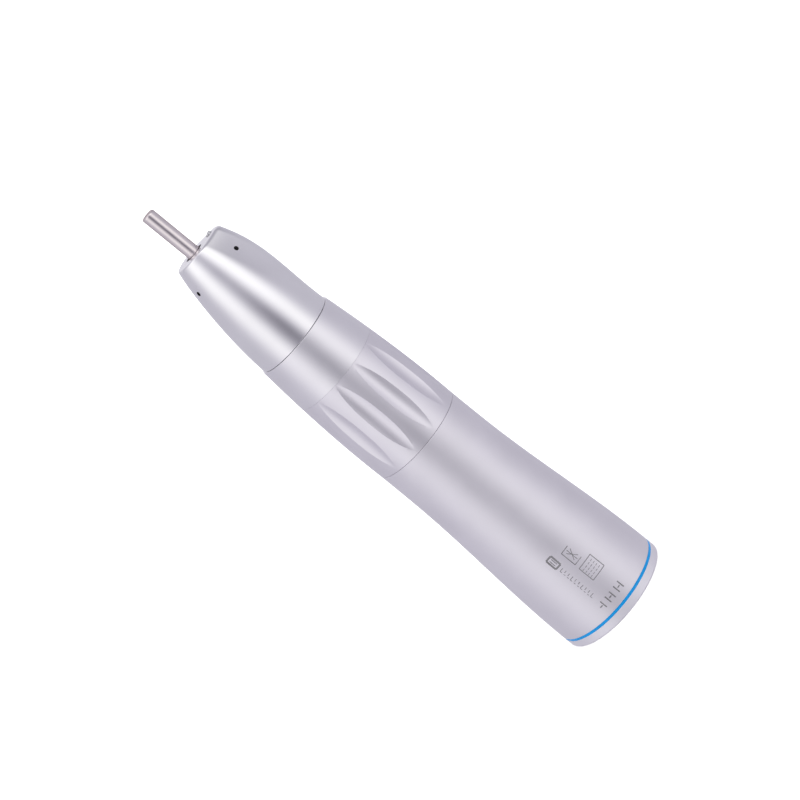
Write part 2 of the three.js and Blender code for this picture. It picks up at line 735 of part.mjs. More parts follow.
add(groups.casing, "front_outer_spacer", ring(4.45, 5, 0, 0.42), CORE_STEEL, FRONT_BEARING_ZS[0] + 3.04);

// Lock ring
add(groups.lock_ring, "grip_ring", gripRing(), SATIN_SHELL);
add(groups.lock_ring, "grip_collar", gripCollar(), SATIN_SHELL);
add(groups.lock_ring, "cam_ring", camRing(), CORE_STEEL);

// Release
add(groups.release, "release_sleeve", releaseSleeve(), CORE_STEEL);
[["cam_pin_left", 90], ["cam_pin_right", -90]].forEach(([name, angle]) => {
  add(groups.release, name, radialPin(CAM_PIN_RADIUS, 4.4, 7.3, angle, 0), BEARING_STEEL, CAM_PIN_Z);
});

// Spindle
add(groups.spindle, "spindle_tube", spindle(), CORE_STEEL);
add(groups.spindle, "spindle_nut", spindleNut(), CORE_STEEL);
add(groups.spindle, "drive_shaft", driveShaft(), CORE_STEEL);
add(groups.spindle, "front_inner_spacer", ring(3, 3.5, 0, 0.42), CORE_STEEL, FRONT_BEARING_ZS[0] + 3.04);
add(groups.spindle, "chuck_spring", chuckSpring(), SPRING_STEEL);

// Chuck
add(groups.chuck, "collet", collet(), SHANK_STEEL);
add(groups.chuck, "draw_tube", drawTube(), CORE_STEEL);
add(groups.chuck, "cross_pin", crossPin(CROSS_PIN_RADIUS), BEARING_STEEL);
add(groups.chuck, "thrust_collar", thrustCollar(), CORE_STEEL);
add(groups.chuck, "spring_seat", springSeat(), CORE_STEEL);
add(groups.chuck, "shank_stop", shankStop(), CORE_STEEL);

// Test mandrel
add(groups.mandrel, "test_mandrel", mandrel(), SHANK_STEEL);

// Bearings: the outer race stays with the casing, the inner race turns with the spindle, and the cage
// turns at its own speed between them.
[
  ["front_bearing_b", FRONT_BEARING, FRONT_BEARING_ZS[0]],
  ["front_bearing_a", FRONT_BEARING, FRONT_BEARING_ZS[1]],
  ["rear_bearing", REAR_BEARING, REAR_BEARING_Z],
].forEach(([name, size, z]) => {
  const shapes = bearingShapes(size);
  const cageGroup = new THREE.Group();
  part.add(cageGroup);
  add(groups.casing, `${name}_outer_race`, shapes.outer_race, BEARING_STEEL, z);
  add(groups.spindle, `${name}_inner_race`, shapes.inner_race, BEARING_STEEL, z);
  add(cageGroup, `${name}_cage`, shapes.cage, CAGE_PLASTIC, z);
});

export default part;
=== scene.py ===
"""Straight dental handpiece: fine meshes, finishes, floor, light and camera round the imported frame.

Lengths in the outlines are millimetres. +Z runs from the coupling to the nose, +X is the side where the nose
bulges over the water line, and -Y is the marked side. Angles called "round" are degrees from -Y towards +X.
"""

import math

import bmesh
import bpy
from mathutils import Matrix, Vector
from mathutils.bvhtree import BVHTree
from mathutils.interpolate import poly_3d_calc


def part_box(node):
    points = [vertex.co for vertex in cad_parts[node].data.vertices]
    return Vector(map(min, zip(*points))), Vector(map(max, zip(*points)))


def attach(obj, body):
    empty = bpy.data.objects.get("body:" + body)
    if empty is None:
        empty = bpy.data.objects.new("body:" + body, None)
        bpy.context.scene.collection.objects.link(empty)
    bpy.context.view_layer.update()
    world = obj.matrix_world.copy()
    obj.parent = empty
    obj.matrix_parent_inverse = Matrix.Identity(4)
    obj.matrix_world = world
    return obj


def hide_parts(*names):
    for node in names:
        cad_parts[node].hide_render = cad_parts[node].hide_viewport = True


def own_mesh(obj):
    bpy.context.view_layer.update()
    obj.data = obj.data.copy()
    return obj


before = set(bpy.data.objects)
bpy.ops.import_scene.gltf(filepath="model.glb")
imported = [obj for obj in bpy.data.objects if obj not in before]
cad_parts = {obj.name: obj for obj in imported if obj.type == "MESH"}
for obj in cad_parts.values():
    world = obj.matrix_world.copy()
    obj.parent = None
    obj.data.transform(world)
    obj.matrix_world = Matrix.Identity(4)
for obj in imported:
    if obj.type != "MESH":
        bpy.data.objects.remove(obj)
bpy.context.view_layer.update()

MM = 0.001
OUTER_SIDES = 240
INNER_SIDES = 96
SMALL_SIDES = 32
SHARP_DEG = 32


def heights(node):
    """The lowest and highest z of a CAD node, in millimetres."""
    low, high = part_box(node)
    return low[2] / MM, high[2] / MM


def outer_radius(node):
    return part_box(node)[1][1] / MM


# Where the shells meet, along Z. The fine shells close the CAD's seams to hairlines.
SEAM = 0.042
END_FRONT = heights("end_ring")[1]
RATIO_REAR, RATIO_FRONT = heights("ratio_ring")
SLEEVE_REAR, SLEEVE_FRONT = heights("rear_sleeve")[0], heights("rear_sleeve")[1] + SEAM
GRIP_REAR, GRIP_FRONT = heights("grip_ring")[0] - SEAM, heights("grip_ring")[1]
COLLAR_REAR, COLLAR_FRONT = GRIP_FRONT + 0.01, heights("grip_collar")[1] + SEAM
NOSE_REAR, NOSE_FRONT = heights("nose_cone")[0] - SEAM, heights("nose_cone")[1]
END_RADIUS = outer_radius("end_ring")

# Chuck, lock ring and core
SHANK_RADIUS = 1.175
SHANK_REAR, TIP_Z = heights("test_mandrel")
CAM_PIN_RADIUS, CAM_PIN_Z = 0.7, sum(heights("cam_pin_left")) / 2
STOP_PIN_RADIUS, STOP_PIN_Z = 0.6, sum(heights("stop_pin")) / 2
CROSS_PIN_RADIUS, CROSS_PIN_Z = 0.7, sum(heights("cross_pin")) / 2
LOCK_TURN_DEG, RELEASE_TRAVEL, CHUCK_TRAVEL = 45, 1.15, 1.0
SPINDLE_RADIUS, SPRING_CHAMBER_RADIUS, DRAW_BORE = 4.1, 3.2, 2.1
SPINDLE_REAR, SPINDLE_FRONT = heights("spindle_tube")
JOURNAL_RADIUS = 2.98
NECK_BORE = 6.2

# Water line, in the plane through the axis and +X
TUBE_RADIUS, TUBE_BORE, CHANNEL_RADIUS = 0.35, 0.2, 0.43
TUBE_REAR_X, TUBE_MID_X, NOZZLE_X = 7.1, 6.1, 3.6
NOZZLE_RADIUS, NOZZLE_SEAT, NOZZLE_PROUD = 0.5, 1.2, 0.3
FLANGE_REAR, FLANGE_FRONT = 36.2, heights("rear_sleeve")[1]
WATER_PORT_Z = 14.5
SPRAY_REAR_Z = 79
SPRAY_SLOPE = math.atan2(TUBE_MID_X - NOZZLE_X, NOSE_FRONT - SPRAY_REAR_Z)


# ---- Mesh tools ------------------------------------------------------------------------------


def smoothstep(x):
    x = min(1.0, max(0.0, x))
    return x * x * (3 - 2 * x)


def spaced(start, end, steps):
    return [start + (end - start) * k / steps for k in range(steps + 1)]


def around(count, start=0.0):
    return [start + 2 * math.pi * k / count for k in range(count)]


def polar(radius, angle, z):
    """The point at a radius, an angle from +X in radians, and a height."""
    return Vector((radius * math.cos(angle), radius * math.sin(angle), z)) * MM


def round_point(radius, angle, z):
    """The point at a radius, an angle round from -Y towards +X, and a height."""
    a = math.radians(angle)
    return Vector((radius * math.sin(a), -radius * math.cos(a), z)) * MM


def rounded(points, steps=4):
    """An outline of (r, z, corner radius) with its corners rounded, and a close point beside each arc so that
    the flat beside it stays flat when shaded."""
    made = []
    for i, (r, z, radius) in enumerate(points):
        here = Vector((r, z))
        if radius == 0:
            made.append((r, z))
            continue
        back = Vector(points[i - 1][:2]) - here
        ahead = Vector(points[(i + 1) % len(points)][:2]) - here
        corner = back.angle(ahead)
        room = 0.45 * min(back.length, ahead.length)
        reach = min(radius / math.tan(corner / 2), room)
        radius = reach * math.tan(corner / 2)
        back_way, ahead_way = back.normalized(), ahead.normalized()
        centre = here + (back_way + ahead_way).normalized() * (radius / math.sin(corner / 2))
        first = here + back_way * reach - centre
        last = here + ahead_way * reach - centre
        sweep_angle = math.pi - corner
        beside = min(0.35 * radius, 0.05 * room)
        made.append(tuple(centre + first + back_way * beside))
        for t in spaced(0, 1, steps):
            arm = first * math.sin((1 - t) * sweep_angle) + last * math.sin(t * sweep_angle)
            made.append(tuple(centre + arm / math.sin(sweep_angle)))
        made.append(tuple(centre + last + ahead_way * beside))
    return made


def shade(obj, sharp=SHARP_DEG):
    obj.data.shade_smooth()
    obj.data.set_sharp_from_angle(angle=math.radians(sharp))


def finished(name, bm, sharp=SHARP_DEG):
    """The object of a bmesh, with its faces turned out and shaded smooth between sharp edges."""
    bmesh.ops.recalc_face_normals(bm, faces=bm.faces)
    if bm.calc_volume(signed=True) < 0:
        bmesh.ops.reverse_faces(bm, faces=bm.faces)
    mesh = bpy.data.meshes.new(name)
    bm.to_mesh(mesh)
    bm.free()
    obj = bpy.data.objects.new(name, mesh)
    bpy.context.scene.collection.objects.link(obj)
    shade(obj, sharp)
    return obj


def skin(bm, rows, loop):
    """Faces between rows of vertices. A row of one vertex is a pole. loop joins the last row to the first."""
    pairs = list(zip(rows, rows[1:]))
    if loop:
        pairs.append((rows[-1], rows[0]))
    for low, high in pairs:
        count = max(len(low), len(high))
        for k in range(count):
            m = (k + 1) % count
            if len(low) == 1:
                bm.faces.new((low[0], high[m], high[k]))
            elif len(high) == 1:
                bm.faces.new((low[k], low[m], high[0]))
            else:
                bm.faces.new((low[k], low[m], high[m], high[k]))


def turned(name, outline, sides=INNER_SIDES):
    """A turned part from its (r, z) outline, which closes on itself or starts and ends on the axis."""
    bm = bmesh.new()
    rows = []
    for r, z in outline:
        if r == 0:
            rows.append([bm.verts.new((0, 0, z * MM))])
            continue
        spots = [(r * math.cos(a) * MM, r * math.sin(a) * MM, z * MM) for a in around(sides)]
        rows.append([bm.verts.new(spot) for spot in spots])
    skin(bm, rows, loop=outline[0][0] > 0)
    return finished(name, bm)


def box(name, size, centre, turn_deg=0):
    """A box cutter, turned about Z after it is placed."""
    bm = bmesh.new()
    bmesh.ops.create_cube(bm, size=1)
    spot = Matrix.Rotation(math.radians(turn_deg), 4, "Z") @ Matrix.Translation(Vector(centre) * MM)
    bm.transform(spot @ Matrix.Diagonal((*[s * MM for s in size], 1)))
    return finished(name, bm)


def moved(obj, matrix):
    obj.data.transform(matrix)
    return obj


def radial(name, outline, turn_deg, z, sides=SMALL_SIDES):
    """A turned part whose outline runs outwards along a radius at an angle from +X."""
    obj = turned(name, outline, sides)
    point_out = Matrix.Rotation(math.radians(turn_deg), 4, "Z") @ Matrix.Rotation(math.pi / 2, 4, "Y")
    return moved(obj, Matrix.Translation((0, 0, z * MM)) @ point_out)


def plain_bar(radius, low, high):
    return [(0, low), (radius, low), (radius, high), (0, high)]


def dowel(radius, low, high, edge=0.12):
    """The outline of a bar with rounded ends."""
    return rounded([(0, low, 0), (radius, low, edge), (radius, high, edge), (0, high, 0)])


def ring(inside, outside, low, high, edge=0.06, steps=4):
    """The outline of a ring with rounded edges."""
    corners = [(inside, low), (outside, low), (outside, high), (inside, high)]
    return rounded([(r, z, edge) for r, z in corners], steps)


def cut(obj, *cutters, sharp=SHARP_DEG):
    """Cuts the cutters out of obj and deletes them."""
    for cutter in cutters:
        step = obj.modifiers.new("cut", "BOOLEAN")
        step.operation = "DIFFERENCE"
        step.solver = "EXACT"
        step.object = cutter
    made = bpy.data.meshes.new_from_object(obj.evaluated_get(bpy.context.evaluated_depsgraph_get()))
    obj.modifiers.clear()
    obj.data = made
    for cutter in cutters:
        bpy.data.objects.remove(cutter, do_unlink=True)
    shade(obj, sharp)
    return obj


def smooth_normals(mesh):
    """Each face's corner points and the normals they are shaded with."""
    faces = []
    for face in mesh.polygons:
        points = [mesh.vertices[v].co.copy() for v in face.vertices]
        normals = [mesh.corner_normals[corner].vector.copy() for corner in face.loop_indices]
        faces.append((points, normals))
    return faces


SAME_PLACE = 0.001
SAME_WAY = 0.95


def keep_shading(obj, before):
    """Shades the faces that a cut left in place as they were in before, the mesh without the cut."""
    faces = smooth_normals(before)
    tree = BVHTree.FromPolygons([v.co for v in before.vertices], [face.vertices for face in before.polygons])
    mesh = obj.data
    normals = []
    for face in mesh.polygons:
        for v in face.vertices:
            spot = mesh.vertices[v].co
            _, way, index, gap = tree.find_nearest(spot)
            if gap > SAME_PLACE * MM or way.dot(face.normal) < SAME_WAY:
                normals.append((0, 0, 0))
                continue
            points, shading = faces[index]
            weights = poly_3d_calc(points, spot)
            normal = sum((n * w for n, w in zip(shading, weights)), Vector())
            normals.append(normal.normalized())
    mesh.normals_split_custom_set(normals)


def sweep(name, path, radius, bore=0, sides=16):
    """A wire or tube along a list of points, with flat ends."""
    bm = bmesh.new()
    rims = [radius, bore] if bore else [radius]
    side = None
    tubes = [[] for _ in rims]
    for i, point in enumerate(path):
        way = (path[min(i + 1, len(path) - 1)] - path[max(i - 1, 0)]).normalized()
        side = way.orthogonal() if side is None else side - way * side.dot(way)
        side.normalize()
        up = way.cross(side)
        for tube, r in zip(tubes, rims):
            rim = [(point + (side * math.cos(a) + up * math.sin(a)) * r) * MM for a in around(sides)]
            tube.append([bm.verts.new(spot) for spot in rim])
    if bore:
        skin(bm, tubes[0] + tubes[1][::-1], loop=True)
    else:
        skin(bm, tubes[0], loop=False)
        bm.faces.new(tubes[0][0])
        bm.faces.new(tubes[0][-1])
    return finished(name, bm, 40)


def place(obj, body, material, slot, *nodes):
    """obj rides on a body, is finished in a material and stands for the CAD nodes."""
    obj.data.materials.clear()
    obj.data.materials.append(material)
    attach(obj, body)
    if nodes:
        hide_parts(*nodes)
    return obj


# ---- Finishes --------------------------------------------------------------------------------


class Nodes:
    """Adds nodes to a node tree and links them."""

    def __init__(self, tree):
        self.tree = tree

    def add(self, kind, inputs=(), **settings):
        node = self.tree.nodes.new("ShaderNode" + kind)
        for key, value in settings.items():
            setattr(node, key, value)
        for key, value in dict(inputs).items():
            self.feed(node.inputs[key], value)
        return node

    def feed(self, socket, value):
        if isinstance(value, bpy.types.NodeSocket):
            self.tree.links.new(value, socket)
        else:
            socket.default_value = value


def new_material(name):
    material = bpy.data.materials.new(name)
    material.use_nodes = True
    material.node_tree.nodes.clear()
    nodes = Nodes(material.node_tree)
    shader = nodes.add("BsdfPrincipled")
    output = nodes.add("OutputMaterial")
    nodes.feed(output.inputs["Surface"], shader.outputs["BSDF"])
    return material, nodes, shader


def toned(nodes, shader, mask, dark, light):
    """The base colour runs from dark to light with a 0 to 1 mask."""
    mix = nodes.add("Mix", data_type="RGBA")
    nodes.feed(mix.inputs["Factor"], mask)
    nodes.feed(mix.inputs["A"], (*dark, 1))
    nodes.feed(mix.inputs["B"], (*light, 1))
    nodes.feed(shader.inputs["Base Color"], mix.outputs["Result"])


def ranged(nodes, value, low, high):
    """Spreads the middle of a noise from low to high."""
    inputs = {"Value": value, "From Min": 0.3, "From Max": 0.7, "To Min": low, "To Max": high}
    return nodes.add("MapRange", inputs).outputs["Result"]


def noise(nodes, vector, scale, detail=3.0):
    return nodes.add("TexNoise", {"Vector": vector, "Scale": scale, "Detail": detail}).outputs["Fac"]


def stretched(nodes, vector, scale):
    return nodes.add("VectorMath", {0: vector, 1: scale}, operation="MULTIPLY").outputs["Vector"]


def bumped(nodes, shader, height, depth):
    bump = nodes.add("Bump", {"Height": height, "Distance": depth * MM, "Strength": 1.0})
    nodes.feed(shader.inputs["Normal"], bump.outputs["Normal"])


def blasted_steel(name, tone, roughness, grain, depth):
    """Steel blasted with fine beads: small pits, and a faint cloudiness in tone and gloss with a few rubs."""
    material, nodes, shader = new_material(name)
    place_of = nodes.add("TexCoord").outputs["Object"]
    cloud = noise(nodes, place_of, 160.0, 4.0)
    rub = noise(nodes, stretched(nodes, place_of, (1.0, 1.0, 0.12)), 900.0, 5.0)
    shader.inputs["Metallic"].default_value = 1.0
    toned(nodes, shader, ranged(nodes, cloud, 0.0, 1.0), [c * 0.955 for c in tone], tone)
    haze = nodes.add("Math", {0: ranged(nodes, cloud, -0.014, 0.012), 1: ranged(nodes, rub, -0.01, 0.01)})
    gloss = nodes.add("Math", {0: haze.outputs[0], 1: roughness})
    nodes.feed(shader.inputs["Roughness"], gloss.outputs[0])
    bumped(nodes, shader, noise(nodes, place_of, grain, 2.0), depth)
    return material


def turned_steel(name, tone, roughness, lines, depth, rim=None):
    """Steel off a lathe, with fine rings along the axis and a cloudy tone. rim tints the metal where it is
    seen at a glancing angle."""
    material, nodes, shader = new_material(name)
    place_of = nodes.add("TexCoord").outputs["Object"]
    split = nodes.add("SeparateXYZ", {0: place_of})
    flat = nodes.add("CombineXYZ", {0: split.outputs[0], 1: split.outputs[1]})
    radius = nodes.add("VectorMath", {0: flat.outputs[0]}, operation="LENGTH")
    along = nodes.add("Math", {0: radius.outputs["Value"], 1: split.outputs[2]})
    waves = {"W": along.outputs[0], "Scale": lines, "Detail": 3.0}
    rings = nodes.add("TexNoise", waves, noise_dimensions="1D")
    cloud = noise(nodes, place_of, 300.0, 4.0)
    shader.inputs["Metallic"].default_value = 1.0
    if rim:
        shader.inputs["Specular Tint"].default_value = (*rim, 1)
    toned(nodes, shader, ranged(nodes, cloud, 0.0, 1.0), [c * 0.93 for c in tone], tone)
    nodes.feed(shader.inputs["Roughness"], ranged(nodes, cloud, roughness - 0.03, roughness + 0.03))
    bumped(nodes, shader, rings.outputs["Fac"], depth)
    return material


def soft_material(name, tone, roughness, mottle=0.9, grain=5000.0, depth=0.004, shine=0.5):
    """Plastic, enamel or rubber, with a mottled tone and a fine moulded grain."""
    material, nodes, shader = new_material(name)
    place_of = nodes.add("TexCoord").outputs["Object"]
    cloud = noise(nodes, place_of, 500.0, 4.0)
    toned(nodes, shader, ranged(nodes, cloud, 0.0, 1.0), [c * mottle for c in tone], tone)
    nodes.feed(shader.inputs["Roughness"], ranged(nodes, cloud, roughness - 0.04, roughness + 0.04))
    shader.inputs["Specular IOR Level"].default_value = shine
    bumped(nodes, shader, noise(nodes, place_of, grain, 2.0), depth)
    return material


satin = blasted_steel("satin_steel", (0.80, 0.775, 0.83), 0.54, 9000.0, 0.003)
grip_satin = blasted_steel("grip_steel", (0.805, 0.78, 0.835), 0.455, 9000.0, 0.003)
collar_satin = blasted_steel("collar_steel", (0.835, 0.815, 0.86), 0.39, 9000.0, 0.0025)
end_satin = blasted_steel("end_steel", (0.84, 0.82, 0.88), 0.62, 9000.0, 0.002)
nose_steel = blasted_steel("nose_steel", (0.87, 0.855, 0.885), 0.25, 6000.0, 0.001)
bright = turned_steel("bright_steel", (0.79, 0.725, 0.735), 0.24, 9000.0, 0.0006, rim=(0.50, 0.43, 0.43))
# The collet's steel is toned dark as painted shade, for the shade in the nose's mouth round the shank's base.
collet_steel_painted_shade = turned_steel("collet_steel_painted_shade", (0.36, 0.32, 0.31), 0.28, 9000.0, 0.0008)
ground = turned_steel("ground_steel", (0.80, 0.80, 0.81), 0.12, 12000.0, 0.0004)
machined = turned_steel("machined_steel", (0.62, 0.62, 0.64), 0.30, 6000.0, 0.002)
sprung = turned_steel("spring_steel", (0.46, 0.46, 0.48), 0.30, 3000.0, 0.001)
blue = soft_material("blue_ring", (0.001, 0.20, 0.50), 0.22, 0.85, 4000.0, 0.0015, shine=0.2)
rubber = soft_material("seal_rubber", (0.10, 0.095, 0.105), 0.62, 0.7)
slide_plastic = soft_material("slide_plastic", (0.80, 0.78, 0.71), 0.5)
cage_plastic = soft_material("cage_plastic", (0.32, 0.14, 0.045), 0.5, 0.8)
laser = soft_material("laser_mark", (0.15, 0.145, 0.16), 0.55, 0.6, 9000.0, 0.002)
# Painted shade: a near-black tone for the insides of the nose's small holes, where they lie in shade.
painted_hole_shade = soft_material("painted_hole_shade", (0.012, 0.011, 0.013), 0.8, 0.6)


# ---- Outer shells ----------------------------------------------------------------------------


def fading(z, start, length):
    """1 up to a height, then smoothly down to 0 over the length after it."""
    return 1 - smoothstep((z - start) / length)


def sleeve_radius(z):
    waist, flare, fullness = 8.51, 1.64, 0.045
    return waist + flare * fading(z, 2, 34.5) + fullness * fading(z, 34, 7)


def grip_radius(z):
    """Widest near the middle of the grip, and falling away to both ends."""
    widest, front_fall, rear_fall = 8.53, 0.0044, 0.0012
    return widest - front_fall * max(0.0, z - 45) ** 1.8 - rear_fall * max(0.0, 46 - z) ** 2


def nose_radius(z):
    """Half of the nose's width along X: a straight taper, and a growing curve from 70 on."""
    rear, taper, curve = 7.22, 0.045, 0.000405
    return rear - taper * (z - 66.55) - curve * max(0.0, z - 70) ** 3


def nose_shift(z):
    """How far the middle of that width lies towards +X."""
    return 0.88 * smoothstep((z - 67) / 16)


def ridge_radius(z):
    return 1.6 + 3 * fading(z, 67, 13)


def between(radius_at, low, high, steps):
    """Points of an outside surface strictly between two heights."""
    return [(radius_at(z), z, 0) for z in spaced(low, high, steps)[1:-1]]


def end_ring():
    inside = 8.3
    outline = [(inside, 0.15, 0.05), (inside + 0.15, 0, 0.05), (END_RADIUS, 0, 0.3)]
    outline += [(END_RADIUS, END_FRONT + SEAM, 0.04), (inside, END_FRONT, 0.05)]
    return turned("end_ring", rounded(outline, 6), OUTER_SIDES)


def ratio_ring():
    inside = 9.2
    outline = [(inside, RATIO_REAR, 0.05), (END_RADIUS - 0.02, RATIO_REAR - 0.005, 0.03)]
    outline += [(END_RADIUS - 0.02, RATIO_FRONT + 0.035, 0.03), (inside, RATIO_FRONT, 0.05)]
    return turned("ratio_ring", rounded(outline, 3), OUTER_SIDES)


def rear_sleeve():
    rear, front = sleeve_radius(SLEEVE_REAR), sleeve_radius(SLEEVE_FRONT)
    outline = [(rear, SLEEVE_REAR, 0.04)]
    outline += between(sleeve_radius, SLEEVE_REAR, SLEEVE_FRONT, 80)
    outline += [(front, SLEEVE_FRONT, 0.06), (7.67, SLEEVE_FRONT, 0.05)]
    outline += [(7.82, 32, 0), (8.4, 20, 0), (9.2, 8, 0.4), (9.2, SLEEVE_REAR, 0.05)]
    return turned("rear_sleeve", rounded(outline, 3), OUTER_SIDES)


FLUTES, FLUTE_PHASE, FLUTE_MID, FLUTE_HALF = 12, 16.5, 50.45, 7.85
FLUTE_HALF_WIDTH_DEG, FLUTE_DEPTH = 9.0, 0.41


def grip_ring():
    """The fluted ring. Its columns follow the edges of the flutes, so that they stay crisp."""
    inside = 7.4
    outline = [(grip_radius(GRIP_REAR), GRIP_REAR, 0.06)]
    outline += between(grip_radius, GRIP_REAR, GRIP_FRONT, 110)
    outline.append((grip_radius(GRIP_FRONT), GRIP_FRONT, 0.02))
    outline += [(inside, GRIP_FRONT, 0.05), (inside, GRIP_REAR, 0.05)]
    across = [math.sin(math.pi / 2 * v) for v in spaced(-1, 1, 22)]
    land = spaced(0, 1, 8)[1:-1]
    pitch = 360 / FLUTES
    bm = bmesh.new()
    rows = []
    for r, z in rounded(outline):
        fade = 0.0
        if r > inside + 0.3:
            fade = max(0.0, 1 - abs((z - FLUTE_MID) / FLUTE_HALF) ** 2.3) ** 0.75
        half = max(0.12, FLUTE_HALF_WIDTH_DEG * fade)
        row = []
        for i in range(FLUTES):
            middle = FLUTE_PHASE + pitch * i
            for v in across:
                dip = FLUTE_DEPTH * fade * fade * (1 - v * v)
                row.append(bm.verts.new(round_point(r - dip, middle + half * v, z)))
            for v in land:
                row.append(bm.verts.new(round_point(r, middle + half + (pitch - 2 * half) * v, z)))
        rows.append(row)
    skin(bm, rows, loop=True)
    return finished("grip_ring", bm, 14)


def grip_collar():
    inside, spigot, spigot_length = 6.6, 7.35, 4
    rear = COLLAR_REAR + 0.03
    outline = [(grip_radius(COLLAR_REAR), COLLAR_REAR, 0.02)]
    outline += between(grip_radius, COLLAR_REAR, COLLAR_FRONT, 40)
    outline += [(grip_radius(COLLAR_FRONT), COLLAR_FRONT, 0.08), (inside, COLLAR_FRONT, 0.06)]
    outline += [(inside, rear - spigot_length, 0.05), (spigot, rear - spigot_length, 0.05)]
    outline.append((spigot, COLLAR_REAR, 0))
    return turned("grip_collar", rounded(outline), OUTER_SIDES)


def nose_reach(angle, z):
    """How far the nose reaches from the axis, at an angle from +X in radians. Its section is a circle round
    the axis and a smaller one on +X over the water line, with straight flanks from one to the other."""
    body = nose_radius(z) - nose_shift(z)
    ridge = ridge_radius(z)
    out = nose_radius(z) + nose_shift(z) - ridge
    flank = math.acos(min(1.0, (body - ridge) / out))  # the direction a flank faces
    angle = abs(math.remainder(angle, 2 * math.pi))
    if angle >= flank:
        return body
    if angle >= math.atan2(ridge * math.sin(flank), out + ridge * math.cos(flank)):
        return body / math.cos(angle - flank)
    return out * math.cos(angle) + math.sqrt(ridge**2 - (out * math.sin(angle)) ** 2)


def nose_rim(angle, steps):
    """The (r, z) points round the nose's front edge, which is rounder where it bulges."""
    radius = 0.42 + 0.55 * ((1 + math.cos(angle)) / 2) ** 3
    full_z = NOSE_FRONT - radius
    start = math.atan(nose_reach(angle, full_z - 1) - nose_reach(angle, full_z))
    edge_z = NOSE_FRONT - radius * (1 - math.sin(start))
    centre = nose_reach(angle, edge_z) - radius * math.cos(start)
    arc = spaced(start, math.pi / 2, steps)
    return [(centre + radius * math.cos(t), NOSE_FRONT - radius * (1 - math.sin(t))) for t in arc]


SPANNER_HOLES = (61, -61, 119, 241)
SPANNER_HOLE_Z = 82.15
SPANNER_HOLE_RADIUS = 0.38
SPANNER_HOLE_DEPTH = 1.3


def nose_blank():
    """The nose before its holes. The chamber and the mouth are round, and only the outside bulges."""
    mouth, mouth_depth, chamber, edge = 1.7, 1.45, 3.3, 0.05
    mouth_end = NOSE_FRONT - mouth_depth
    start = NOSE_REAR + 0.3
    inner = [(2.4, NOSE_FRONT, 0), (mouth, NOSE_FRONT, 0.1), (mouth, mouth_end, edge)]
    inner += [(chamber, mouth_end, edge), (chamber, 80.8, edge), (4.1, 80.8, edge), (4.1, 79.1, edge)]
    inner += [(5.02, 79.1, edge), (5.02, 71.6, edge), (NECK_BORE, 71.6, edge), (NECK_BORE, 67.35, 0.03)]
    inner += [(6.8, 67.35, 0.03), (6.8, NOSE_REAR, edge)]
    inner += [(nose_radius(NOSE_REAR), NOSE_REAR, 0.07), (nose_radius(start), start, 0)]
    steps, rim_steps = 100, 8
    bm = bmesh.new()
    columns = []
    for angle in around(OUTER_SIDES):
        rim = nose_rim(angle, rim_steps)
        first_rim_z = rim[0][1]
        column = [(nose_reach(angle, z), z) for z in spaced(start, first_rim_z, steps)[1:-1]]
        column += rim
        column.append((rim[-1][0] - 0.04, NOSE_FRONT))
        columns.append(column)
    rows = []
    for outer in zip(*columns):
        rows.append([bm.verts.new(polar(r, angle, z)) for angle, (r, z) in zip(around(OUTER_SIDES), outer)])
    for r, z in rounded(inner, 7):
        rows.append([bm.verts.new(polar(r, angle, z)) for angle in around(OUTER_SIDES)])
    skin(bm, rows, loop=True)
    return finished("nose_cone", bm, 30)


def nose_cone():
    nose = nose_blank()
    blank = nose.data
    cutters = []
    for angle in SPANNER_HOLES:
        r = SPANNER_HOLE_RADIUS
        surface = nose_reach(math.radians(angle - 90), SPANNER_HOLE_Z)
        tip = surface - SPANNER_HOLE_DEPTH
        drill = [(0, tip), (r, tip + 0.2), (r, surface + 1), (0, surface + 1)]
        cutters.append(radial("hole", drill, angle - 90, SPANNER_HOLE_Z))
    barrel = turned("barrel", plain_bar(NOZZLE_RADIUS + 0.08, -NOZZLE_SEAT, 1), SMALL_SIDES)
    cutters.append(moved(barrel, nozzle_place()))
    cutters.append(sweep("channel", water_path(0), CHANNEL_RADIUS))
    cut(nose, *cutters, sharp=30)
    keep_shading(nose, blank)
    return nose


def paint_shade_in_holes(nose):
    """The nose's second material, inside its small holes: painted shade, a near-black tone for the shade that
    lies in them.
    """
    nose.data.materials.append(painted_hole_shade)
    for face in nose.data.polygons:
        middle = face.center / MM
        if abs(middle.z - SPANNER_HOLE_Z) > SPANNER_HOLE_RADIUS * 1.05:
            continue
        angle = math.atan2(middle.y, middle.x)
        depth = nose_reach(angle, middle.z) - math.hypot(middle.x, middle.y)
        if 0.03 < depth < SPANNER_HOLE_DEPTH + 0.1:
            face.material_index = 1


def nose_seal():
    low, high = heights("nose_seal")
    return turned("nose_seal", ring(NECK_BORE, 6.75, low, high, 0.12), OUTER_SIDES)


# ---- Marks -----------------------------------------------------------------------------------


def mark(bm, start, end, width):
    """A thin closed slab on the sleeve, from one (z, angle round) to another. Width is in millimetres."""
    lift, sink = 0.006, 0.01
    radius = sleeve_radius(start[0])
    per_degree = math.radians(radius)
    run = Vector((end[0] - start[0], (end[1] - start[1]) * per_degree))
    way = run.normalized()
    aside = Vector((-way.y, way.x)) * width / 2
    steps = max(1, round(run.length / 0.4))
    rows = []
    for t in spaced(0, 1, steps):
        middle = run * t
        row = []
        for edge, height in ((aside, lift), (-aside, lift), (-aside, -sink), (aside, -sink)):
            z = start[0] + middle.x + edge.x
            angle = start[1] + (middle.y + edge.y) / per_degree
            row.append(bm.verts.new(round_point(sleeve_radius(z) + height, angle, z)))
        rows.append(row)
    skin(bm, rows, loop=False)
    bm.faces.new(rows[0])
    bm.faces.new(rows[-1])


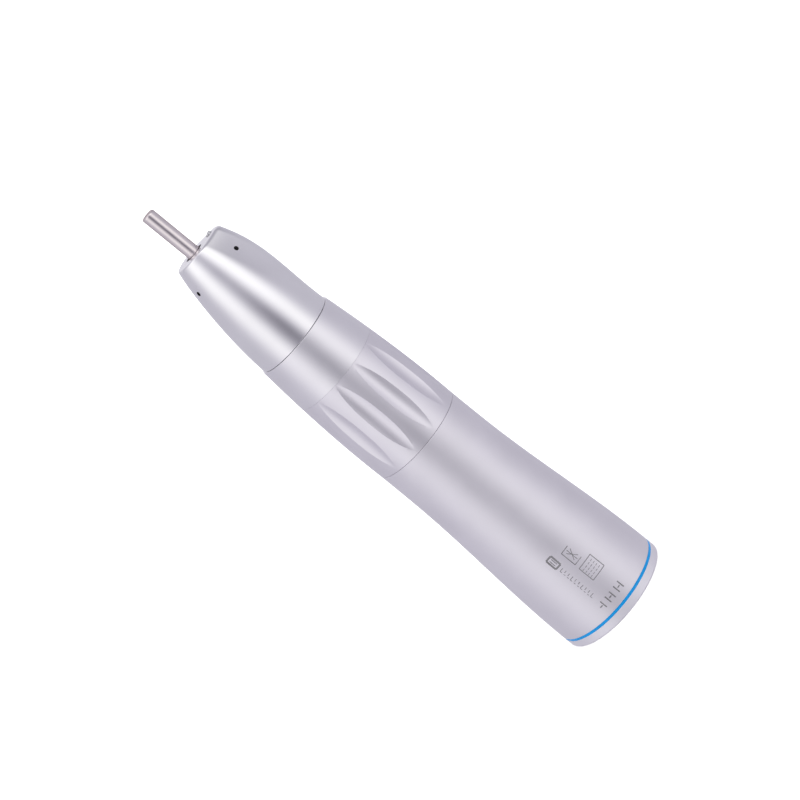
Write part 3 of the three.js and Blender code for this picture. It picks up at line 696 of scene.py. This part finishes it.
def frame_mark(bm, low, high, first, last, width, open_side=False):
    """The lines round a rectangle between two heights and two angles. open_side leaves out the line along the
    last angle."""
    corners = [(high, last), (high, first), (low, first), (low, last)]
    sides = list(zip(corners, corners[1:]))
    if not open_side:
        sides.append((corners[-1], corners[0]))
    for a, b in sides:
        mark(bm, a, b, width)


def laser_marks():
    """Plain generic marks: two framed squares, a small tag, ticks along the body and ticks round it."""
    line, thin = 0.13, 0.09
    bm = bmesh.new()
    frame_mark(bm, 11.7, 14.5, -0.4, 8.6, line, open_side=True)
    for start, end in (((14.2, 5.0), (12.0, 5.0)), ((13.9, 8.2), (12.3, 2.4)), ((12.3, 8.2), (13.9, 2.4))):
        mark(bm, start, end, thin + 0.02)
    frame_mark(bm, 7.9, 10.8, 15.4, -0.8, line)
    for z in (8.5, 9.05, 9.6, 10.15):
        for angle in (13.0, 9.4, 5.8, 2.2):
            mark(bm, (z, angle), (z, angle - 2.3), thin)
    frame_mark(bm, 13.5, 15.5, -8.4, -14.8, 0.3)
    for angle in (-10.4, -12.8):
        mark(bm, (13.9, angle), (15.1, angle), 0.14)
    for k in range(10):
        z = 12.8 - 0.7 * k
        mark(bm, (z, -9.6), (z, -12.2 if k % 3 else -13.8), thin + 0.02)
        mark(bm, (z - 0.06, -13.6), (z - 0.4, -13.6), thin)
    for k in range(5):
        angle = 11.8 - 5.8 * k
        mark(bm, (3.35, angle), (4.75, angle), 0.2)
        if k % 2 == 0:
            mark(bm, (4.05, angle - 1.3), (4.05, angle - 4.2), 0.2)
    return finished("laser_marks", bm, 60)


# ---- Water line ------------------------------------------------------------------------------


def water_path(end_gap):
    """The middle of the water tube: along the coupling, in through the core's flange, along the core and the
    nose. It stops end_gap short of the nozzle."""
    stop = NOZZLE_SEAT + end_gap
    end_x = NOZZLE_X + stop * math.sin(SPRAY_SLOPE)
    end = Vector((end_x, 0, NOSE_FRONT - stop * math.cos(SPRAY_SLOPE)))
    corners = [
        Vector((TUBE_REAR_X, 0, FLANGE_REAR + 0.6)),
        Vector((TUBE_MID_X, 0, FLANGE_FRONT - 1.4)),
        Vector((TUBE_MID_X, 0, SPRAY_REAR_Z)),
    ]
    bend = 1.2
    before = Vector((TUBE_REAR_X, 0, WATER_PORT_Z + 1))
    path = [before]
    for corner, after in zip(corners, corners[1:] + [end]):
        a = corner + (before - corner).normalized() * bend
        b = corner + (after - corner).normalized() * bend
        path += [a * (1 - t) ** 2 + corner * 2 * t * (1 - t) + b * t**2 for t in spaced(0, 1, 8)]
        before = b
    path.append(end)
    return path


def nozzle_place():
    spot = Matrix.Translation(Vector((NOZZLE_X, 0, NOSE_FRONT)) * MM)
    return spot @ Matrix.Rotation(-SPRAY_SLOPE, 4, "Y")


def spray_nozzle():
    outline = [(TUBE_BORE, -NOZZLE_SEAT, 0), (NOZZLE_RADIUS, -NOZZLE_SEAT, 0.05)]
    outline += [(NOZZLE_RADIUS, NOZZLE_PROUD, 0.12), (TUBE_BORE, NOZZLE_PROUD, 0.05)]
    return moved(turned("spray_nozzle", rounded(outline), SMALL_SIDES), nozzle_place())


# ---- Coupling and core -----------------------------------------------------------------------


def coupling_bush():
    rear = heights("coupling_bush")[0]
    shoulder, floor_z = 28.8, 27.5
    front = FLANGE_REAR - 0.04
    outline = [(8.25, rear, 0.06), (8.25, END_FRONT + 0.08, 0.04), (9.15, END_FRONT + 0.08, 0.05)]
    outline += [(9.15, 6.5, 0.3), (7.8, 8, 0.3), (7.6, shoulder, 0), (7.6, front, 0.05), (6.5, front, 0.05)]
    outline += [(6.5, shoulder, 0.05), (3.4, shoulder, 0.05), (3.4, floor_z, 0.1), (6.4, floor_z, 0.25)]
    outline += [(6.4, 7.2, 0.2), (7.9, 6, 0.2), (7.9, 4.2, 0.05), (8.35, 4.1, 0.12), (8.35, 3.1, 0.12)]
    outline += [(7.9, 3, 0.05), (7.9, rear, 0.12)]
    bush = turned("coupling_bush", rounded(outline), INNER_SIDES)
    keyway = box("keyway", (2, 1.6, 2.4), (0, -8.1, 1.35))
    water_port = radial("port", plain_bar(0.5, 5.5, TUBE_REAR_X + 0.2), 0, WATER_PORT_Z)
    well = turned("well", plain_bar(CHANNEL_RADIUS, WATER_PORT_Z - 0.3, WATER_PORT_Z + 1.5), SMALL_SIDES)
    moved(well, Matrix.Translation((TUBE_REAR_X * MM, 0, 0)))
    air_port = radial("air", plain_bar(0.6, 5.5, 8.6), 180, 20)
    return cut(bush, keyway, water_port, well, air_port, sweep("channel", water_path(0), CHANNEL_RADIUS))


def core_tube():
    rear, front = heights("core_tube")
    flange, body, neck, neck_rear, bore = 7.6, 6.4, 6.15, 66, 5.05
    outline = [(bore, rear, 0.1), (6.45, rear, 0.1), (6.45, FLANGE_REAR, 0.05), (flange, FLANGE_REAR, 0.1)]
    outline += [(flange, FLANGE_FRONT, 0.1), (body, FLANGE_FRONT, 0.1), (body, neck_rear, 0.1)]
    outline += [(neck, neck_rear, 0), (neck, front, 0.12), (4.4, front, 0.1), (4.4, front - 1.2, 0.05)]
    outline.append((bore, front - 1.2, 0.1))
    core = turned("core_tube", rounded(outline), INNER_SIDES)
    length = RELEASE_TRAVEL + 2 * CAM_PIN_RADIUS + 0.4
    middle = CAM_PIN_Z + RELEASE_TRAVEL / 2
    guides = [box("guide", (4, 2 * CAM_PIN_RADIUS + 0.16, length), (body, 0, middle), a) for a in (90, -90)]
    stop = radial("stop", plain_bar(STOP_PIN_RADIUS + 0.02, 5.4, 8), 180, STOP_PIN_Z)
    mouth_length = front - FLANGE_FRONT
    mouth = box("mouth", (0.8, 2 * CHANNEL_RADIUS, mouth_length), (6.5, 0, FLANGE_FRONT + mouth_length / 2))
    core = cut(core, *guides, stop, sweep("channel", water_path(0), CHANNEL_RADIUS))
    return cut(core, mouth)


# ---- Lock ring's cam and the release ---------------------------------------------------------


def cam_slot(name, pin_radius, start_deg, z, rise):
    """The cutter of a slot in the cam ring that a pin follows. It runs backwards by the turn and climbs by
    rise."""
    half = pin_radius + 0.12
    inside, outside = 6.52, 7.38
    run = math.radians(LOCK_TURN_DEG) * inside
    slope, length = math.atan2(rise, run), math.hypot(run, rise)
    end = [(half * math.cos(a), half * math.sin(a)) for a in spaced(-math.pi / 2, math.pi / 2, 12)[1:-1]]
    outline = [(x, -half) for x in spaced(0, length, 12)]
    outline += [(length + x, y) for x, y in end]
    outline += [(x, half) for x in spaced(length, 0, 12)]
    outline += [(-x, -y) for x, y in end]
    bm = bmesh.new()
    rows = []
    for radius in (inside - 1, outside + 1):
        row = []
        for x, y in outline:
            along = x * math.cos(slope) - y * math.sin(slope)
            up = x * math.sin(slope) + y * math.cos(slope)
            a = math.radians(start_deg) - along / inside
            row.append(bm.verts.new(polar(radius, a, z + up)))
        rows.append(row)
    skin(bm, rows, loop=False)
    ends = [bm.faces.new(row) for row in rows]
    bmesh.ops.triangulate(bm, faces=ends)
    return finished(name, bm)


def cam_ring():
    low, high = heights("cam_ring")
    blank = turned("cam_ring", ring(6.52, 7.38, low, high, 0.08))
    slots = [cam_slot("slot", CAM_PIN_RADIUS, a, CAM_PIN_Z, RELEASE_TRAVEL) for a in (90, -90)]
    slots.append(cam_slot("slot", STOP_PIN_RADIUS, 180, STOP_PIN_Z, 0))
    return cut(blank, *slots)


def release_sleeve():
    low, high = heights("release_sleeve")
    blank = turned("release_sleeve", ring(4.25, 5.0, low, high, 0.1))
    holes = [radial("hole", plain_bar(CAM_PIN_RADIUS + 0.02, 3.5, 6), a, CAM_PIN_Z) for a in (90, -90)]
    return cut(blank, *holes)


def clip():
    """An internal retaining ring: an open ring of flat wire, with a lug and an eye at each end."""
    low, high = heights("bearing_clip")
    inside, outside, gap_deg = 4.3, 5.03, 24
    bm = bmesh.new()
    rows = []
    for angle in spaced(gap_deg / 2, 360 - gap_deg / 2, 110):
        near_end = min(angle, 360 - angle) - gap_deg / 2
        inner = inside - 0.35 * fading(near_end, 8, 5)
        section = ring(inner, outside, low, high, 0.05, 2)
        rows.append([bm.verts.new(round_point(r, angle, z)) for r, z in section])
    skin(bm, rows, loop=False)
    bm.faces.new(rows[0])
    bm.faces.new(rows[-1])
    blank = finished("bearing_clip", bm)
    eyes = []
    for angle in (gap_deg / 2 + 5, -gap_deg / 2 - 5):
        eye = turned("eye", plain_bar(0.26, low - 1, high + 1), SMALL_SIDES)
        eyes.append(moved(eye, Matrix.Translation(round_point(4.42, angle, 0))))
    return cut(blank, *eyes)


def wave_washer():
    """The spring washer that loads the front bearings: a thin flat ring bent into three waves."""
    low, high = heights("front_preload_washer")
    inside, outside, thick, waves = 4.2, 4.95, 0.25, 3
    middle, swing = (low + high) / 2, (high - low - thick) / 2
    bm = bmesh.new()
    rows = []
    for k in range(INNER_SIDES):
        angle = 360 * k / INNER_SIDES
        z = middle + swing * math.cos(math.radians(waves * angle))
        section = ring(inside, outside, z - thick / 2, z + thick / 2, 0.04, 2)
        rows.append([bm.verts.new(round_point(r, angle, h)) for r, h in section])
    skin(bm, rows, loop=True)
    return finished("front_preload_washer", bm)


# ---- Spindle and chuck -----------------------------------------------------------------------


def spindle_tube():
    bearing_rear = heights("front_bearing_b_outer_race")[0] - 0.04
    step = 61
    outline = [(SPRING_CHAMBER_RADIUS, SPINDLE_REAR, 0.1), (SPINDLE_RADIUS, SPINDLE_REAR, 0.15)]
    outline += [(SPINDLE_RADIUS, 66, 0.1), (3.45, 66.6, 0.1), (3.45, bearing_rear, 0.08)]
    outline += [(JOURNAL_RADIUS, bearing_rear, 0.05), (JOURNAL_RADIUS, SPINDLE_FRONT, 0.12)]
    outline += [(2.62, SPINDLE_FRONT, 0.05), (DRAW_BORE, 79, 0.1), (DRAW_BORE, step, 0.05)]
    outline.append((SPRING_CHAMBER_RADIUS, step, 0.05))
    blank = turned("spindle_tube", rounded(outline))
    slot_length = CHUCK_TRAVEL + 2 * CROSS_PIN_RADIUS + 0.3
    slot = box("slot", (2 * CROSS_PIN_RADIUS + 0.14, 12, slot_length), (0, 0, CROSS_PIN_Z + CHUCK_TRAVEL / 2))
    return cut(blank, slot)


def spindle_nut():
    low, high = heights("spindle_nut")
    blank = turned("spindle_nut", ring(JOURNAL_RADIUS + 0.02, 3.65, low, high, 0.1))
    flats = [box("flat", (2, 8, 3), (side * 4.4, 0, (low + high) / 2)) for side in (1, -1)]
    return cut(blank, *flats)


def drive_shaft():
    rear, front = heights("drive_shaft")
    outline = [(0, rear, 0), (2.4, rear, 0.35), (2.4, 28.6, 0.05), (3, 28.6, 0.08), (3, 29.1, 0.05)]
    outline += [(2.48, 29.1, 0.05), (2.48, 33.4, 0.05), (3.18, 34.4, 0.1), (3.18, front, 0.12), (0, front, 0)]
    blank = turned("drive_shaft", rounded(outline))
    return cut(blank, box("fork", (6, 1.7, 7), (0, 0, rear)))


def chuck_spring():
    """A coil spring whose first and last turns lie closed."""
    low, high = heights("chuck_spring")
    wire, mean_radius, turns = 0.38, 2.65, 7
    low, high = low + wire, high - wire
    closed = 2 * wire / (high - low)  # rise of one closed turn, as a share of the whole
    path = []
    for t in spaced(0, 1, turns * 32):
        turn = t * turns
        if turn < 1:
            share = closed * turn
        elif turn > turns - 1:
            share = 1 - closed * (turns - turn)
        else:
            share = closed + (1 - 2 * closed) * (turn - 1) / (turns - 2)
        a = 2 * math.pi * turn
        z = low + (high - low) * share
        path.append(Vector((mean_radius * math.cos(a), mean_radius * math.sin(a), z)))
    return sweep("chuck_spring", path, wire, sides=14)


def collet():
    rear, front = heights("collet")
    bore = SHANK_RADIUS + 0.03
    taper_front = SPINDLE_FRONT - 0.1
    outline = [(bore, rear, 0), (1.72, rear, 0.08), (1.72, 64.2, 0.05), (DRAW_BORE - 0.05, 64.4, 0.05)]
    outline += [(DRAW_BORE - 0.05, 79.1, 0.2), (2.56, taper_front, 0.1), (2.56, front - 0.2, 0.06)]
    outline += [(2.36, front, 0.08), (bore + 0.22, front, 0.06), (bore, front - 0.25, 0)]
    blank = turned("collet", rounded(outline))
    slits = [box("slit", (4, 0.3, 20), (2, 0, 77), a) for a in (90, 210, 330)]
    return cut(blank, *slits)


def cross_pin(radius, edge=0.0):
    half = 4.7
    outline = dowel(radius, -half, half, edge) if edge else plain_bar(radius, -half, half)
    pin = turned("cross_pin", outline, SMALL_SIDES)
    return moved(pin, Matrix.Translation((0, 0, CROSS_PIN_Z * MM)) @ Matrix.Rotation(math.pi / 2, 4, "X"))


def draw_tube():
    rear, front = heights("draw_tube")
    seat = 58.2
    outline = [(1.3, rear, 0.08), (2, rear, 0.1), (2, front, 0.05), (1.78, front, 0.04), (1.78, seat, 0.05)]
    outline.append((1.3, seat, 0.05))
    return cut(turned("draw_tube", rounded(outline)), cross_pin(CROSS_PIN_RADIUS + 0.02))


def thrust_collar():
    low, high = heights("thrust_collar")
    blank = turned("thrust_collar", ring(SPINDLE_RADIUS + 0.08, 4.85, low, high, 0.15))
    return cut(blank, cross_pin(CROSS_PIN_RADIUS + 0.02))


# ---- Bearings --------------------------------------------------------------------------------

FRONT_BEARING = {"bore": 3, "outside": 5, "ball": 0.57}
REAR_BEARING = {"bore": 2.5, "outside": 5, "ball": 0.76}
BALLS = 7


def race(node, wall, pitch, ball, way):
    """A race with a round groove. way is 1 for an outer race and -1 for an inner one."""
    low, high = heights(node)
    middle = (low + high) / 2
    lip, groove = 0.72 * ball, ball + 0.04
    shoulder = pitch + way * lip
    reach = math.acos(lip / groove)
    outline = [(shoulder, low, 0.06), (wall, low, 0.12), (wall, high, 0.12), (shoulder, high, 0.06)]
    turns = spaced(reach, -reach, 16)
    arc = [(pitch + way * groove * math.cos(a), middle + groove * math.sin(a)) for a in turns]
    return turned(node, rounded(outline) + arc)


def cage_and_balls(node, pitch, ball):
    """The moulded cage with a pocket round each ball, and the balls."""
    low, high = heights(node)
    middle = (low + high) / 2
    wall, half = 0.42 * ball, 0.7 * ball
    cage = turned(node, ring(pitch - wall, pitch + wall, middle - half, middle + half, 0.08), 84)
    bm = bmesh.new()
    pockets = []
    for a in around(BALLS, 0.5 * math.pi / BALLS):
        spot = Matrix.Translation(polar(pitch, a, middle))
        pocket = bmesh.new()
        for mesh, radius in ((bm, ball), (pocket, ball + 0.03)):
            bmesh.ops.create_uvsphere(mesh, u_segments=24, v_segments=14, radius=radius * MM, matrix=spot)
        pockets.append(finished("pocket", pocket))
    return cut(cage, *pockets), finished(node.replace("cage", "balls"), bm, 180)


# ---- Assembly --------------------------------------------------------------------------------

place(end_ring(), "casing", end_satin, "satin_steel", "end_ring")
place(ratio_ring(), "casing", blue, "blue_ring", "ratio_ring")
place(rear_sleeve(), "casing", satin, "satin_steel", "rear_sleeve")
place(laser_marks(), "casing", laser, "satin_steel")
place(coupling_bush(), "casing", machined, "machined_steel", "coupling_bush")
place(core_tube(), "casing", machined, "machined_steel", "core_tube")
# The insides of the nose's small holes get painted shade.
paint_shade_in_holes(place(nose_cone(), "casing", nose_steel, "nose_steel", "nose_cone"))
place(nose_seal(), "casing", rubber, "seal_rubber", "nose_seal")
water_tube = sweep("water_tube", water_path(0.2), TUBE_RADIUS, TUBE_BORE)
place(water_tube, "casing", machined, "machined_steel", "water_tube")
place(spray_nozzle(), "casing", machined, "machined_steel", "spray_nozzle")
stop_pin = radial("stop_pin", dowel(STOP_PIN_RADIUS, 5.45, 7.28), 180, STOP_PIN_Z)
place(stop_pin, "casing", ground, "machined_steel", "stop_pin")
washer = turned("slide_washer", ring(6.5, 7.32, *heights("slide_washer"), 0.1))
place(washer, "casing", slide_plastic, "slide_plastic", "slide_washer")
place(clip(), "casing", sprung, "spring_steel", "bearing_clip")
place(wave_washer(), "casing", sprung, "spring_steel", "front_preload_washer")
for node, body, inside, outside in (
    ("front_outer_spacer", "casing", 4.45, 5.0),
    ("front_inner_spacer", "spindle", 3.0, 3.5),
):
    spacer = turned(node, ring(inside, outside, *heights(node), 0.05))
    place(spacer, body, machined, "machined_steel", node)

place(grip_ring(), "lock_ring", grip_satin, "satin_steel", "grip_ring")
place(grip_collar(), "lock_ring", collar_satin, "satin_steel", "grip_collar")
place(cam_ring(), "lock_ring", machined, "machined_steel", "cam_ring")

place(release_sleeve(), "release", machined, "machined_steel", "release_sleeve")
for node, angle in (("cam_pin_left", 90), ("cam_pin_right", -90)):
    cam_pin = radial(node, dowel(CAM_PIN_RADIUS, 4.4, 7.3), angle, CAM_PIN_Z)
    place(cam_pin, "release", ground, "bright_steel", node)

place(spindle_tube(), "spindle", machined, "machined_steel", "spindle_tube")
place(spindle_nut(), "spindle", machined, "machined_steel", "spindle_nut")
place(drive_shaft(), "spindle", machined, "machined_steel", "drive_shaft")
spring = place(chuck_spring(), "spindle", sprung, "spring_steel", "chuck_spring")

# The collet's dark tone is painted shade.
place(collet(), "chuck", collet_steel_painted_shade, "bright_steel", "collet")
place(draw_tube(), "chuck", machined, "machined_steel", "draw_tube")
place(cross_pin(CROSS_PIN_RADIUS, 0.1), "chuck", ground, "bright_steel", "cross_pin")
place(thrust_collar(), "chuck", machined, "machined_steel", "thrust_collar")
spring_seat = turned("spring_seat", ring(2.02, SPRING_CHAMBER_RADIUS - 0.08, *heights("spring_seat"), 0.08))
place(spring_seat, "chuck", machined, "machined_steel", "spring_seat")
shank_stop = turned("shank_stop", dowel(1.28, *heights("shank_stop"), 0.15))
place(shank_stop, "chuck", machined, "machined_steel", "shank_stop")

shank = [(0, SHANK_REAR, 0), (SHANK_RADIUS, SHANK_REAR, 0.25), (SHANK_RADIUS, TIP_Z, 0.34), (0, TIP_Z, 0)]
place(turned("test_mandrel", rounded(shank, 8)), "mandrel", bright, "bright_steel", "test_mandrel")

for name, size, body in (
    ("front_bearing_a", FRONT_BEARING, "front_cage_a"),
    ("front_bearing_b", FRONT_BEARING, "front_cage_b"),
    ("rear_bearing", REAR_BEARING, "rear_cage"),
):
    pitch = (size["bore"] + size["outside"]) / 2
    outer, inner, caged = (f"{name}_{piece}" for piece in ("outer_race", "inner_race", "cage"))
    place(race(outer, size["outside"], pitch, size["ball"], 1), "casing", ground, "bright_steel", outer)
    place(race(inner, size["bore"], pitch, size["ball"], -1), "spindle", ground, "bright_steel", inner)
    cage, balls = cage_and_balls(caged, pitch, size["ball"])
    place(cage, body, cage_plastic, "cage_plastic", caged)
    place(balls, body, ground, "bright_steel")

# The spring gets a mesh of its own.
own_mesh(spring)


# ---- Floor, light and camera -----------------------------------------------------------------


def floor():
    half = 4.0
    bm = bmesh.new()
    corners = ((-half, -half), (half, -half), (half, half), (-half, half))
    bm.faces.new([bm.verts.new((x, y, 0)) for x, y in corners])
    mesh = bpy.data.meshes.new("floor")
    bm.to_mesh(mesh)
    bm.free()
    obj = bpy.data.objects.new("floor", mesh)
    bpy.context.scene.collection.objects.link(obj)
    material, _, shader = new_material("floor")
    shader.inputs["Base Color"].default_value = (0.95, 0.95, 0.95, 1)
    shader.inputs["Roughness"].default_value = 0.9
    shader.inputs["Specular IOR Level"].default_value = 0.0
    mesh.materials.append(material)
    obj.visible_glossy = False


# What the steel mirrors, by the angle round from -Y towards +X in degrees: two tall soft boxes to either
# side of a dark gap, and a grey room behind. The first light is below the horizon and the second above it,
# where the boxes meet. The darker it is, the more the light leans to lilac.
STUDIO = [
    (-180, 0.60, 0.92),
    (-150, 0.58, 0.64),
    (-110, 0.58, 0.50),
    (-85, 0.62, 0.78),
    (-68, 0.86, 1.16),
    (-48, 1.15, 1.22),
    (-32, 0.97, 1.04),
    (-16, 0.35, 0.62),
    (-2, 0.18, 0.50),
    (8, 0.20, 0.54),
    (20, 0.63, 0.90),
    (34, 1.22, 1.26),
    (50, 1.14, 1.32),
    (63, 0.80, 1.18),
    (76, 0.62, 0.40),
    (95, 0.56, 0.34),
    (135, 0.58, 0.50),
    (180, 0.60, 0.92),
]
STUDIO_TOP = 1.4
STUDIO_TINT = (1.0, 0.965, 1.2)
STUDIO_WHITE = 1.15
HORIZON = (0.0, 0.34)  # the heights between which the first light gives way to the second
ROOM_LIGHT = 1.7


def light_ramp(nodes, name, turn, lights):
    ramp = nodes.add("ValToRGB", {"Fac": turn}, label=name)
    ramp.color_ramp.interpolation = "B_SPLINE"
    stops = ramp.color_ramp.elements
    for degrees, _ in lights[1:-1]:
        stops.new((degrees + 180) / 360)
    for stop, (degrees, light) in zip(stops, lights):
        lilac = max(0.0, 1 - light / STUDIO_WHITE)
        stop.position = (degrees + 180) / 360
        stop.color = (*[light / STUDIO_TOP * (1 + (c - 1) * lilac) for c in STUDIO_TINT], 1)
    return ramp.outputs["Color"]


def studio():
    world = bpy.data.worlds.new("studio")
    bpy.context.scene.world = world
    world.use_nodes = True
    world.node_tree.nodes.clear()
    nodes = Nodes(world.node_tree)
    way = nodes.add("SeparateXYZ", {0: nodes.add("TexCoord").outputs["Generated"]})
    back = nodes.add("Math", {0: way.outputs[1], 1: -1.0}, operation="MULTIPLY")
    angle = nodes.add("Math", {0: way.outputs[0], 1: back.outputs[0]}, operation="ARCTAN2")
    turn = nodes.add("Math", {0: angle.outputs[0], 1: 1 / (2 * math.pi), 2: 0.5}, operation="MULTIPLY_ADD")
    rise = {"Value": way.outputs[2], "From Min": HORIZON[0], "From Max": HORIZON[1]}
    above = nodes.add("MapRange", rise, interpolation_type="SMOOTHSTEP")
    mix = nodes.add("Mix", data_type="RGBA")
    nodes.feed(mix.inputs["Factor"], above.outputs["Result"])
    for socket, column in (("A", 1), ("B", 2)):
        lights = [(row[0], row[column]) for row in STUDIO]
        nodes.feed(mix.inputs[socket], light_ramp(nodes, socket, turn.outputs[0], lights))
    mirrored = nodes.add("Background", {"Color": mix.outputs["Result"], "Strength": STUDIO_TOP})
    plain = nodes.add("Background", {"Color": (1, 1, 1, 1), "Strength": ROOM_LIGHT})
    path = nodes.add("LightPath")
    seen = {0: path.outputs["Is Glossy Ray"], 1: plain.outputs[0], 2: mirrored.outputs[0]}
    shown = nodes.add("MixShader", seen)
    output = nodes.add("OutputWorld")
    nodes.feed(output.inputs["Surface"], shown.outputs[0])


TILT_DEG = 14.114
ROLL_DEG = 50.724
LENS = 109.15
REAR_IN_VIEW = (33.841, 30.910, 384.89)  # of the rear end's centre: right of, below and ahead of the camera


def camera():
    tilt, roll = math.radians(TILT_DEG), math.radians(ROLL_DEG)
    ahead = Vector((0, math.cos(tilt), -math.sin(tilt)))
    level = Vector((1, 0, 0))
    rise = level.cross(ahead)
    right = level * math.cos(roll) - rise * math.sin(roll)
    up = right.cross(ahead)
    x, y, z = REAR_IN_VIEW
    spot = (-right * x + up * y - ahead * z) * MM
    data = bpy.data.cameras.new("camera")
    data.lens = LENS
    data.sensor_width = 36
    data.clip_start = 0.01
    data.clip_end = 20
    obj = bpy.data.objects.new("camera", data)
    obj.matrix_world = Matrix.Translation(spot) @ Matrix((right, up, -ahead)).transposed().to_4x4()
    bpy.context.scene.collection.objects.link(obj)
    bpy.context.scene.camera = obj


floor()
studio()
camera()
bpy.context.scene.view_settings.view_transform = "Standard"
